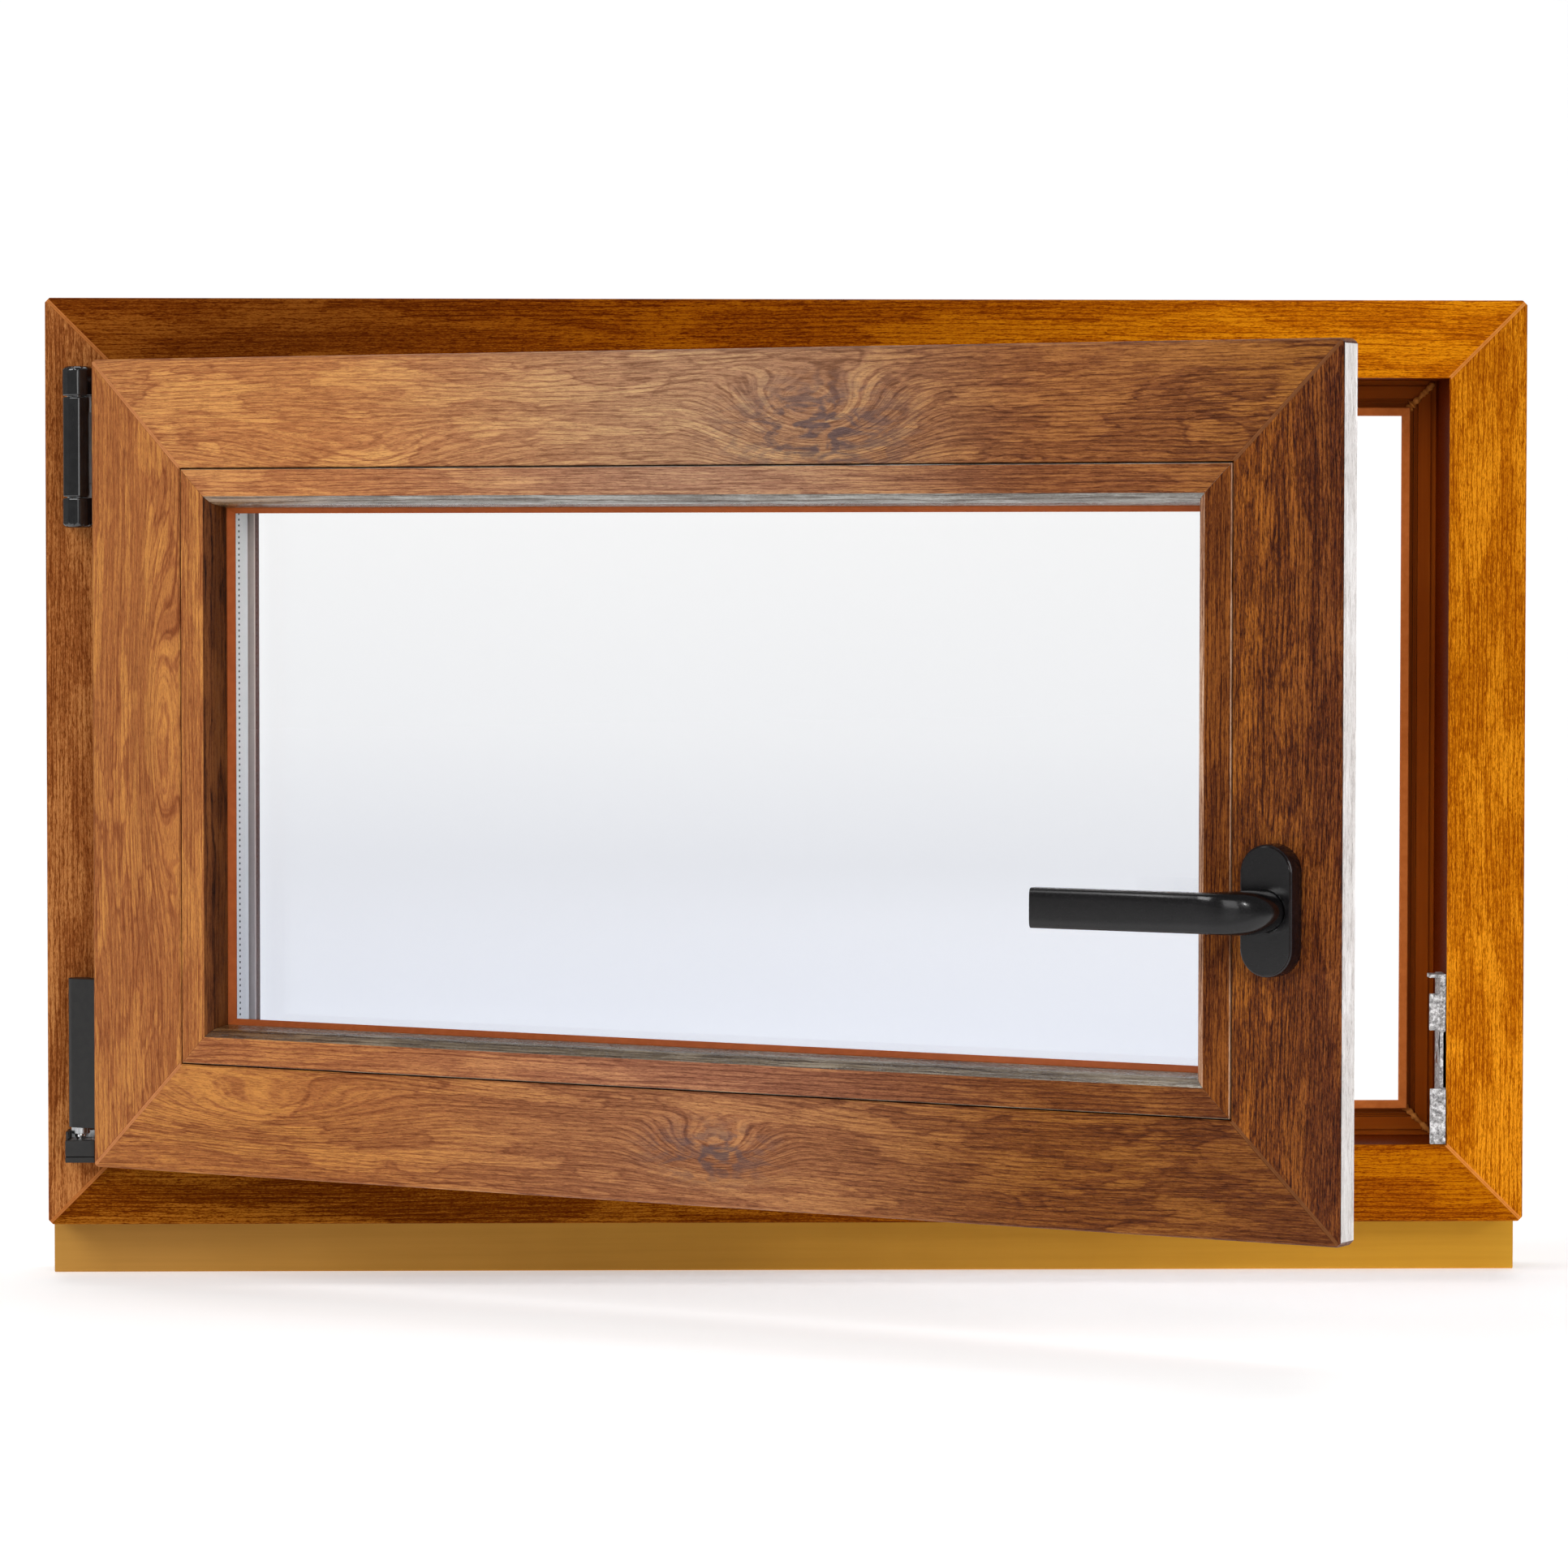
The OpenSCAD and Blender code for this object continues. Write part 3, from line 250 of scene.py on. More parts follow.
def plastic(name, colour, shade, roughness=0.4, specular=0.25, grain=900.0, along=None, relief=0.12,
            far=None):
    """Extruded or moulded plastic: faint clouds of tone, drawing lines along the extrusion, fine grain.

    far is the two colours that the plastic drifts to at the lock side of the window.
    """
    net = Net(name, roughness, specular)
    scale = [60.0, 60.0, 60.0]
    if along:
        scale["XYZ".index(along)] = 1.5
    lines = net.noise(net.mapped(net.place, scale=tuple(4 * s for s in scale)), detail=3, rough=0.6)
    cloud = net.noise(net.place, 14, detail=2)
    share = net.sum("ADD", net.span(lines, 0.3, 0.7, 0, 0.6), net.span(cloud, 0.35, 0.65, 0, 0.4))
    colour = net.mix(share, colour, shade)
    if far:
        across = net.span(net.axis(net.place, "X"), -0.35, 0.35, 0, 1, smooth=False)
        colour = net.mix(across, colour, net.mix(share, *far))
    net.set("Base Color", colour)
    fine = net.noise(net.place, grain, detail=2)
    net.set("Roughness", net.span(fine, 0.3, 0.7, roughness - 0.06, roughness + 0.08, smooth=False))
    return net.bump(net.plus(fine, lines, 0.6 if along else 0.0), relief, 0.0002)


def metal(name, colour, shade, roughness=0.3, brush=None, spangle=0.0, relief=0.15):
    """Plated or galvanised steel: brushed lines along one axis, or crystal spangle."""
    net = Net(name, roughness, metallic=1.0)
    scale = [900.0, 900.0, 900.0]
    if brush:
        scale["XYZ".index(brush)] = 20.0
    lines = net.noise(net.mapped(net.place, scale=tuple(scale)), detail=2)
    share = net.span(lines, 0.3, 0.7)
    if spangle:
        cells = net.add("TexVoronoi", {"Vector": net.place, "Scale": spangle}).outputs["Color"]
        share = net.mix(0.7, share, cells)
    net.set("Base Color", net.mix(share, colour, shade))
    net.set("Roughness", net.span(lines, 0.3, 0.7, roughness - 0.08, roughness + 0.12, smooth=False))
    return net.bump(lines, relief, 0.0001)


def zinc_casting():
    """Granular die-cast zinc with dark pits."""
    net = Net("zinc_casting", 0.42, metallic=0.55)
    coarse = net.noise(net.place, 420, detail=4, rough=0.7)
    pits = net.span(net.noise(net.place, 1100, detail=3, rough=0.7), 0.56, 0.68)
    tones = [srgb(96, 94, 94), srgb(176, 174, 173), srgb(236, 235, 234)]
    colour = net.ramp(coarse, tones, [0.36, 0.5, 0.62])
    net.set("Base Color", net.mix(pits, colour, srgb(95, 92, 92)))
    net.set("Roughness", net.span(coarse, 0.3, 0.7, 0.3, 0.6, smooth=False))
    return net.bump(net.sum("SUBTRACT", coarse, pits), 0.5, 0.0003)


def dark_cover(name, colour, shade, roughness, coat):
    """Black hinge covers: moulded plastic with a faint orange-peel surface."""
    net = Net(name, roughness, 0.5)
    net.set("Coat Weight", coat)
    net.set("Coat Roughness", 0.08)
    peel = net.noise(net.place, 260, detail=2)
    fine = net.noise(net.place, 2200, detail=1)
    net.set("Base Color", net.mix(net.span(peel, 0.35, 0.65), colour, shade))
    net.set("Roughness", net.span(fine, 0.3, 0.7, roughness - 0.05, roughness + 0.07, smooth=False))
    return net.bump(net.plus(peel, fine, 0.4), 0.08, 0.0002)


def handle_finish(name, colour, shade, roughness, relief):
    """Dark bronze coating with fine metal flakes."""
    net = Net(name, roughness, 0.4, metallic=0.1)
    net.set("Coat Weight", 0.2)
    net.set("Coat Roughness", 0.1)
    flakes = net.add("TexVoronoi", {"Vector": net.place, "Scale": 2600.0}).outputs["Color"]
    flakes = net.add("SeparateColor", {"Color": flakes}).outputs[0]
    cloud = net.noise(net.place, 55, detail=3)
    share = net.plus(net.sum("MULTIPLY", net.sum("POWER", flakes, 4.0), 0.8), cloud, 0.3)
    net.set("Base Color", net.mix(share, colour, shade))
    fine = net.noise(net.place, 1500, detail=2)
    net.set("Roughness", net.span(fine, 0.3, 0.7, roughness - 0.06, roughness + 0.08, smooth=False))
    return net.bump(fine, relief, 0.0002)


def clear_glass():
    """Float glass that lets lamps through, faintly blue towards the lower edge as a painted reflection."""
    net = Net("clear_glass", 0.0, 0.5)
    net.set("IOR", 1.5)
    net.set("Transmission Weight", 1.0)
    low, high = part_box("inner_pane")
    share = net.span(net.axis(net.place, "Z"), low.z, high.z, smooth=False)
    wave = net.noise(net.place, 6, detail=1)
    # a painted reflection: the colour turns faintly blue towards the bottom of the pane
    glass_reflections = [(0.85, 0.87, 0.92, 1), (0.885, 0.897, 0.933, 1), (0.968, 0.973, 0.985, 1), (1, 1, 1, 1)]
    glass_reflection = net.ramp(share, glass_reflections, [0, 0.23, 0.57, 1])
    net.set("Base Color", glass_reflection)
    net.bump(wave, 0.02, 0.0002)
    clear = net.add("BsdfTransparent", {"Color": glass_reflection})
    lamp = net.add("LightPath").outputs["Is Shadow Ray"]
    both = net.add("MixShader", {0: lamp, 1: net.shader.outputs[0], 2: clear.outputs[0]})
    net.tree.links.new(both.outputs[0], net.tree.nodes["Material Output"].inputs["Surface"])
    return net.mat


def spacer_metal(along):
    """Bright spacer bar with a row of breathing holes down its middle, along X or Z."""
    net = Net("spacer_metal_" + along, 0.25, 0.8)
    place = sash_place(net)
    pitch = 3.1 * MM
    depth = net.sum("SUBTRACT", net.axis(place, "Y"), SPACER_MIDDLE - HINGE.y)
    step = net.sum("SUBTRACT", net.sum("PINGPONG", net.axis(place, along), pitch), pitch / 2)
    far = net.sum("SQRT", net.sum("ADD", net.sum("POWER", depth, 2.0), net.sum("POWER", step, 2.0)))
    hole, rim = 0.5 * MM, 0.8 * MM
    holes = net.span(far, hole, rim, 1, 0)
    cloud = net.noise(place, 120, detail=2)
    colour = net.mix(net.span(cloud, 0.3, 0.7), srgb(250, 253, 252), srgb(254, 255, 255))
    net.set("Base Color", net.mix(holes, colour, srgb(60, 70, 72)))
    return net.bump(net.sum("MULTIPLY", holes, -1.0), 0.5, 0.0002)


SPACER_MIDDLE = (max(sash_depths("inner_pane")) + min(sash_depths("outer_pane"))) / 2

# Foil colours, as stops for foil(). The frame's drift from brown to gold. On the sash the rails and the lock
# stile grow dark brown towards the lock side, which is painted shade, and the rails' greyer, bluer stops near
# the middle are a painted sheen.
HEAD = [(-0.28, [srgb(86, 31, 1), srgb(118, 55, 5), srgb(152, 86, 24)]),
        (-0.05, [srgb(95, 34, 0), srgb(136, 63, 1), srgb(174, 97, 6)]),
        (0.36, [srgb(152, 70, 0), srgb(201, 108, 2), srgb(239, 150, 13)])]
SILL = [(-0.2, [srgb(87, 33, 0), srgb(118, 57, 1), srgb(169, 103, 26)]),
        (0.2, [srgb(100, 41, 0), srgb(137, 66, 1), srgb(180, 106, 5)]),
        (0.4, [srgb(120, 50, 0), srgb(162, 80, 1), srgb(200, 118, 3)])]
BROWN = [(0, [srgb(114, 56, 20), srgb(153, 88, 41), srgb(194, 128, 71)])]
GOLD = [(0, [srgb(150, 70, 1), srgb(195, 109, 5), srgb(241, 154, 26)])]
# The rails' stops: foil colours with a painted sheen at the second stop and painted shade growing towards the
# lock side.
TOP_RAIL_SHEEN_AND_SHADE = [(-0.27, [srgb(153, 88, 48), srgb(188, 120, 69), srgb(226, 160, 90)]),
            (-0.05, [srgb(138, 94, 66), srgb(177, 130, 97), srgb(211, 168, 120)]),
            (0.13, [srgb(89, 43, 18), srgb(135, 77, 39), srgb(182, 118, 61)]),
            (0.25, [srgb(80, 36, 9), srgb(125, 69, 26), srgb(179, 114, 46)])]
BOTTOM_RAIL_SHEEN_AND_SHADE = [(-0.27, [srgb(129, 68, 31), srgb(166, 100, 52), srgb(204, 136, 67)]),
               (-0.05, [srgb(116, 67, 41), srgb(155, 98, 64), srgb(195, 136, 86)]),
               (0.13, [srgb(79, 35, 8), srgb(119, 63, 21), srgb(161, 101, 40)]),
               (0.25, [srgb(66, 26, 4), srgb(103, 51, 17), srgb(146, 87, 34)])]
HINGE_STILE = [(0, [srgb(135, 71, 33), srgb(169, 101, 53), srgb(208, 139, 69)])]
# The lock stile's darker stops are painted shade.
LOCK_STILE_SHADE = [(0.205, [srgb(63, 20, 1), srgb(123, 61, 13), srgb(178, 103, 30)]),
              (0.255, [srgb(50, 12, 1), srgb(98, 43, 11), srgb(146, 81, 31)])]
# Painted shade for the hinge bead's lip.
HINGE_LIP_SHADE = [(0, [srgb(30, 8, 0), srgb(82, 40, 12), srgb(116, 66, 28)])]
# A painted glare, silver-grey, for the lips of the top and bottom beads.
LIP_GLARE = [(-0.3, [srgb(54, 30, 8), srgb(96, 66, 38), srgb(150, 120, 90)]),
          (-0.2, [srgb(58, 44, 34), srgb(112, 106, 98), srgb(168, 166, 160)])]
FRAME = {"figure": 0.2, "roughness": 0.55, "relief": 0.4, "fine": 0.95, "gloss": 0.02, "patchy": 0.34,
         "patch_size": (56, 11)}
LIP = {"figure": 0.1, "roughness": 0.12, "relief": 0.25, "gloss": 1.0}
# A painted highlight for the lock bead's lip, lighter than the bead itself.
LOCK_LIP_HIGHLIGHT = [(0, [srgb(83, 33, 13), srgb(170, 118, 83), srgb(228, 186, 153)])]

foils = {
    "frame_head": foil("foil_frame_head", "X", HEAD, seed=1, **FRAME),
    "frame_sill": foil("foil_frame_sill", "X", SILL, seed=2, **FRAME),
    "frame_hinge_jamb": foil("foil_frame_hinge_jamb", "Z", BROWN, seed=3, **FRAME),
    "frame_lock_jamb": foil("foil_frame_lock_jamb", "Z", GOLD, seed=4, **FRAME),
    "sash_top_rail": foil("foil_sash_top_rail", "X", TOP_RAIL_SHEEN_AND_SHADE, True, 5,
                          knots=[(0.46, 0.455, 0.085, 0.04, 26, 0.95), (0.19, 0.441, 0.13, 0.024, 14, 0.0)]),
    "sash_bottom_rail": foil("foil_sash_bottom_rail", "X", BOTTOM_RAIL_SHEEN_AND_SHADE, True, 6,
                             knots=[(0.40, 0.092, 0.06, 0.024, 20, 0.8),
                                    (0.13, 0.098, 0.13, 0.026, 16, 0.0)]),
    "sash_hinge_stile": foil("foil_sash_hinge_stile", "Z", HINGE_STILE, True, 7,
                             knots=[(0.058, 0.30, 0.02, 0.15, 15, 0.0)]),
    "sash_lock_stile": foil("foil_sash_lock_stile", "Z", LOCK_STILE_SHADE, True, 8, 0.35, fine=0.7, relief=1.0,
                            gloss=0.14, roughness=0.3),
    # The beads take the stops of their rails and stiles, with the painted sheen and painted shade in them;
    # the lock bead's are dimmed further.
    "bead_top": foil("foil_bead_top", "X", dimmed(TOP_RAIL_SHEEN_AND_SHADE, 0.94, 0.92, 1.02), True, 9, 0.15),
    "bead_bottom": foil("foil_bead_bottom", "X", dimmed(BOTTOM_RAIL_SHEEN_AND_SHADE, 1.0, 1.0, 1.25), True, 10, 0.15),
    "bead_hinge": foil("foil_bead_hinge", "Z", HINGE_STILE, True, 11, 0.15),
    "bead_lock": foil("foil_bead_lock", "Z", dimmed(LOCK_STILE_SHADE, 0.68, 0.66, 0.9), True, 12, 0.15, fine=0.6,
                      gloss=0.1),
}
# The beads' lips: a painted glare on the top and bottom beads, painted shade on the hinge bead and a painted
# highlight on the lock bead.
lips = {
    "bead_top": foil("foil_bead_top_lip", "X", LIP_GLARE, True, 9, **LIP),
    "bead_bottom": foil("foil_bead_bottom_lip", "X", dimmed(LIP_GLARE, 0.8, 0.66, 0.5), True, 10, **LIP),
    "bead_hinge": foil("foil_bead_hinge_lip", "Z", HINGE_LIP_SHADE, True, 11, 0.1, relief=0.3, gloss=0.1),
    "bead_lock": foil("foil_bead_lock_lip", "Z", LOCK_LIP_HIGHLIGHT, True, 12, 0.1, relief=0.5, gloss=0.3),
}
# A painted glare: a pale, greyed foil for the sash's lock edge.
EDGE_GLARE = [(0, [srgb(120, 104, 96), srgb(206, 198, 194), srgb(236, 232, 230)])]
lock_edge_glare = foil("foil_pale_edge", "Z", EDGE_GLARE, True, 13, 0.1, fine=0.4, lines=0.3, roughness=0.35)
core = {
    "X": plastic("brown_core_x", srgb(92, 30, 0), srgb(104, 38, 2), 0.45, 0.04, along="X"),
    "Z": plastic("brown_core_z", srgb(84, 24, 0), srgb(94, 30, 0), 0.45, 0.04, along="Z"),
}
nose = {
    "X": plastic("brown_nose_x", srgb(132, 58, 6), srgb(148, 70, 12), 0.5, 0.03, along="X"),
    "Z": plastic("brown_nose_z", srgb(128, 54, 4), srgb(144, 66, 10), 0.5, 0.03, along="Z"),
}
# Painted reflection: the sash's lip and the brown outer gasket behind the glass get pale colours that stand
# in for the bright backdrop they reflect.
outer_lip_reflection = plastic("outer_lip_reflection", srgb(232, 208, 194), srgb(240, 220, 208), 0.3, 0.5)
gasket_reflection = plastic("gasket_reflection", srgb(226, 204, 192), srgb(236, 216, 204), 0.5, 0.3, grain=1600,
                      relief=0.1)
glazing_rubber = plastic("glazing_rubber", srgb(150, 72, 30), srgb(166, 84, 38), 0.5, 0.1, grain=1600,
                         relief=0.1)
# its lock-side colours are darker, following the sash's painted shade
sash_seam = plastic("sash_seam", srgb(184, 116, 68), srgb(200, 132, 82), 0.45, 0.1,
                    far=(srgb(84, 44, 14), srgb(104, 58, 24)))
frame_seam = plastic("frame_seam", srgb(168, 96, 40), srgb(188, 114, 54), 0.45, 0.1,
                     far=(srgb(214, 128, 46), srgb(230, 148, 62)))
base_plastic = plastic("base_plastic", srgb(178, 130, 58), srgb(188, 138, 64), 0.5, 0.1, grain=700,
                       along="X", relief=0.06, far=(srgb(214, 156, 42), srgb(224, 166, 50)))
brown_plastic = plastic("brown_plastic", srgb(92, 42, 16), srgb(112, 56, 24), 0.42, 0.4)
rubber = plastic("gasket_rubber", srgb(176, 90, 30), srgb(194, 106, 44), 0.55, 0.1, grain=1600, relief=0.1)
packer = plastic("packer_plastic", srgb(40, 110, 70), srgb(60, 136, 90), 0.4, 0.4)
sealant = plastic("sealant", srgb(58, 60, 62), srgb(78, 80, 82), 0.7, 0.3, grain=500, relief=0.3)
galvanised = metal("galvanised_steel", srgb(168, 172, 176), srgb(204, 208, 212), 0.4, spangle=160.0)
zinc_steel = metal("zinc_steel", srgb(178, 180, 182), srgb(206, 207, 208), 0.3, brush="Z")
bright_steel = metal("bright_steel", srgb(214, 214, 214), srgb(238, 238, 238), 0.16)
gloss_cover = dark_cover("gloss_cover", srgb(14, 14, 15), srgb(24, 24, 25), 0.14, 0.8)
satin_cover = dark_cover("satin_cover", srgb(14, 12, 11), srgb(22, 20, 18), 0.42, 0.0)
bronze = handle_finish("handle_bronze", srgb(4, 4, 4), srgb(26, 22, 25), 0.2, 0.06)
# A lighter, purpler copy of the handle finish for the rosette's side: a painted sheen.
bronze_side_sheen = handle_finish("handle_bronze_side", srgb(10, 7, 8), srgb(44, 34, 38), 0.16, 0.05)
glass = clear_glass()
spacer = {along: spacer_metal(along) for along in "XZ"}
zinc = zinc_casting()

plain = {
    base_plastic: ["base_profile"],
    brown_plastic: ["drain_caps"],
    galvanised: ["frame_reinforcement", "sash_reinforcement"],
    rubber: ["frame_gasket", "sash_gasket"],
    glazing_rubber: ["bead_gasket"],
    gasket_reflection: ["outer_glazing_gasket"],
    zinc_steel: ["stay_bearing", "stay_bearing_pin", "corner_bearing", "stay_arm", "hinge_band",
                 "lock_faceplate", "top_faceplate", "bottom_faceplate", "corner_drives", "gearbox_case",
                 "rosette_base", "spindle", "pinion", "lock_rod", "top_rod", "bottom_rod"],
    bright_steel: ["pivot_pin", "strike_screws", "gearbox_screws", "lock_cam", "top_cam", "bottom_cam"],
    zinc: ["tilt_strike", "head_strike", "sill_strike"],
    gloss_cover: ["stay_bearing_caps", "stay_arm_cover"],
    satin_cover: ["corner_bearing_cap", "hinge_band_cover"],
    glass: ["inner_pane", "outer_pane"],
    sealant: ["edge_sealant"],
    packer: ["glazing_packers"],
}
for mat, names in plain.items():
    for name in names:
        nodes[name].data.materials.clear()
        nodes[name].data.materials.append(mat)


def paint(name, mats, choose):
    """Gives each face of a CAD node the material that choose picks by the face's middle and direction."""
    mesh = nodes[name].data
    mesh.materials.clear()
    for mat in mats:
        mesh.materials.append(mat)
    for face in mesh.polygons:
        face.material_index = choose(face.center, face.normal)


frame_low, frame_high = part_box("frame_head")
sash_front, sash_back = min(sash_depths("sash_top_rail")), max(sash_depths("sash_top_rail"))
sash_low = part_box("sash_bottom_rail")[0].z
sash_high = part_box("sash_top_rail")[1].z
sash_side = max(closed(vertex.co).x for vertex in nodes["sash_top_rail"].data.vertices)
sash_middle = (sash_low + sash_high) / 2
GLASS_REACH = 64 * MM  # from the sash's outside edge to the foot of its glazing rebate
NEAR = 0.5 * MM
SKIN = 0.9 * MM  # how far the foil wraps round the edge of a face


def on_seam(depth, normal, front, back):
    """Whether a face lies on a weld seam, which stands a little less proud than NEAR."""
    return abs(normal.y) > 0.99 and 0.1 * MM < min(depth - front, back - depth) < NEAR


def in_glass(point):
    """Whether a point of the closed sash is nearer its middle than the foot of the glazing rebate."""
    inside = sash_low + GLASS_REACH < point.z < sash_high - GLASS_REACH
    return inside and abs(point.x) < sash_side - GLASS_REACH


def frame_coat(centre, normal):
    """0 for foil, 1 for the core in the rebate, 2 for a weld seam, 3 for the rebate's front edges."""
    if on_seam(centre.y, normal, frame_low.y, frame_high.y):
        return 2
    outer = abs(centre.x) > frame_high.x - NEAR or centre.z > frame_high.z - NEAR
    if outer or centre.y < frame_low.y + SKIN or centre.y > frame_high.y - SKIN:
        return 0
    return 3 if normal.y < -0.7 else 1


def sash_coat(centre, normal):
    """0 for foil, 1 for the core, 2 for a weld seam, 3 for the lock edge with a painted glare, 4 for the lip
    outside the glass with a painted reflection.
    """
    centre, normal = closed(centre), turned(normal)
    if on_seam(centre.y, normal, sash_front, sash_back):
        return 2
    # the lock edge takes the pale foil of the painted glare
    if centre.x > sash_side - 0.2 * MM and normal.x > 0.9:
        return 3
    inward = max(-normal.x * math.copysign(1, centre.x),
                 -normal.z * math.copysign(1, centre.z - sash_middle))
    # the lip outside the glass takes a pale colour, a painted reflection
    lip_depth = 18 * MM
    if centre.y > sash_back - lip_depth and inward > 0.5 and in_glass(centre):
        return 4
    outer = abs(centre.x) > sash_side - NEAR or not sash_low + NEAR <= centre.z <= sash_high - NEAR
    room_edge = 3 * MM
    return 0 if outer or centre.y < sash_front + room_edge or centre.y > sash_back - SKIN else 1


GRAIN = {"frame_head": "X", "frame_sill": "X", "frame_hinge_jamb": "Z", "frame_lock_jamb": "Z",
         "sash_top_rail": "X", "sash_bottom_rail": "X", "sash_hinge_stile": "Z", "sash_lock_stile": "Z"}
for name, along in GRAIN.items():
    if name.startswith("frame"):
        paint(name, [foils[name], core[along], frame_seam, nose[along]], frame_coat)
    else:
        paint(name, [foils[name], core[along], sash_seam, lock_edge_glare, outer_lip_reflection], sash_coat)
paint("glass_spacer", [spacer["X"], spacer["Z"]], lambda centre, normal: 0 if abs(normal.z) > 0.7 else 1)
# bead faces that don't face the room take the lip foils, with their painted glare, shade or highlight
for name, lip in lips.items():
    paint(name, [foils[name], lip], lambda centre, normal: 0 if turned(normal).y < -0.97 else 1)


def soften(name, width, segments, angle):
    """Rounds a CAD node's edges with modifiers, and leaves its own mesh as it is."""
    thing = nodes[name]
    if "custom_normal" in thing.data.attributes:
        thing.data.attributes.remove(thing.data.attributes["custom_normal"])
    for face in thing.data.polygons:
        face.use_smooth = True
    weld = thing.modifiers.new("weld", "WELD")
    weld.merge_threshold = 1e-6
    bevel = thing.modifiers.new("bevel", "BEVEL")
    bevel.width = width
    bevel.segments = segments
    bevel.limit_method = "ANGLE"
    bevel.angle_limit = math.radians(angle)
    bevel.use_clamp_overlap = False
    bevel.harden_normals = True


for width, segments, angle, names in (
        (0.00012, 2, 30, GRAIN),
        (0.0002, 2, 30, lips),
        (0.0004, 3, 30, ("tilt_strike", "head_strike", "sill_strike")),
        (0.00035, 3, 30, ("base_profile", "corner_bearing_cap", "hinge_band_cover", "corner_bearing",
                          "hinge_band", "stay_arm", "drain_caps")),
        (0.0008, 4, 34, ("stay_bearing_caps", "stay_arm_cover"))):
    for name in names:
        soften(name, width, segments, angle)


# ---------------------------------------------------------------- pieces


def make_piece(name, points, faces, mats, body, stands_for=(), face_mats=None, smooth_angle=35):
    """A mesh piece that rides on a body, in place of the CAD nodes it stands for."""
    mesh = bpy.data.meshes.new(name)
    mesh.from_pydata([tuple(p) for p in points], [], faces)
    for mat in mats:
        mesh.materials.append(mat)
    if face_mats:
        mesh.polygons.foreach_set("material_index", face_mats)
    tool = bmesh.new()
    tool.from_mesh(mesh)
    bmesh.ops.recalc_face_normals(tool, faces=tool.faces)
    tool.to_mesh(mesh)
    tool.free()
    for face in mesh.polygons:
        face.use_smooth = True
    mesh.set_sharp_from_angle(angle=math.radians(smooth_angle))
    thing = bpy.data.objects.new(name, mesh)
    bpy.context.scene.collection.objects.link(thing)
    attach(thing, body)
    if stands_for:
        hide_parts(*stands_for)


def skin(rings, caps=(True, True)):
    """Points and faces of a closed skin over rings with the same number of points."""
    count = len(rings[0])
    points = [p for ring in rings for p in ring]
    faces = []
    for k in range(len(rings) - 1):
        for i in range(count):
            j = (i + 1) % count
            faces.append((k * count + i, k * count + j, (k + 1) * count + j, (k + 1) * count + i))
    if caps[0]:
        faces.append(tuple(range(count - 1, -1, -1)))
    if caps[1]:
        faces.append(tuple((len(rings) - 1) * count + i for i in range(count)))
    return points, faces


CLOSED_SPINDLE = closed(SPINDLE)


def at_spindle(x, up, out):
    """A point beside the spindle, in millimetres, on the open sash."""
    return swung((CLOSED_SPINDLE.x + x * MM, sash_front - out * MM, SPINDLE.z + up * MM))


# The handle, in millimetres.
LEVER_L, LEVER_W, LEVER_T = 109.0, 19.6, 11.0
LEVER_OUT = 45.0  # from the sash's face to the lever's front
NECK_R, BEND_R = 10.0, 21.0
ROSETTE_W, ROSETTE_L, ROSETTE_H = 28.0, 64.0, 11.0
ROSETTE_WALL = 1.4


def lever_section(along, out, turn, width, thick, power, points=72):
    """A ring round the lever: an ellipse at power 2, and nearer a rectangle as power grows."""
    ring = []
    for i in range(points):
        a = 2 * math.pi * i / points
        x = math.copysign(abs(math.cos(a)) ** (2 / power), math.cos(a)) * thick / 2
        y = math.copysign(abs(math.sin(a)) ** (2 / power), math.sin(a)) * width / 2
        ring.append(at_spindle(-along + x * math.cos(turn), y, out + x * math.sin(turn)))
    return ring


def lever():
    """A round neck that bends through a quarter turn and flattens into the lever."""
    middle = LEVER_OUT - LEVER_T / 2
    neck = 2 * NECK_R
    rings = [lever_section(0, ROSETTE_H - 1.7, 0, neck - 0.6, neck - 0.6, 2),
             lever_section(0, ROSETTE_H - 0.4, 0, neck, neck, 2)]
    steps = 26
    for i in range(steps + 1):
        part = i / steps
        a = math.pi / 2 * part
        rings.append(lever_section(
            BEND_R * (1 - math.cos(a)), middle - BEND_R * (1 - math.sin(a)), a,
            neck + 2.6 * math.sin(2 * a) * (1 - part) + (LEVER_W - neck) * part,
            neck + (LEVER_T - neck) * part, 2 + 3.4 * part ** 1.5))
    stations = (40, 60, 80, 95, 103, 106.6, 108, 108.7)
    ends = [(along, 0, 5.4 + min(1.2, (along - BEND_R) / 40)) for along in stations]
    ends += [(LEVER_L - 0.1, 0.5, 6.6), (LEVER_L, 1.2, 6.6)]
    for along, less, power in ends:
        rings.append(lever_section(along, middle, math.pi / 2, LEVER_W - less, LEVER_T - less, power))
    points, faces = skin(rings)
    make_piece("lever", points, faces, [bronze], "handle", ["handle_lever"], smooth_angle=50)


def stadium(width, length, out, count=40):
    """A ring of two half circles joined by straight sides."""
    r = width / 2
    ring = []
    for end, start in ((1, 0), (-1, math.pi)):
        for i in range(count):
            a = start + math.pi * i / (count - 1)
            ring.append(at_spindle(r * math.cos(a), end * (length / 2 - r) + r * math.sin(a), out))
    return ring


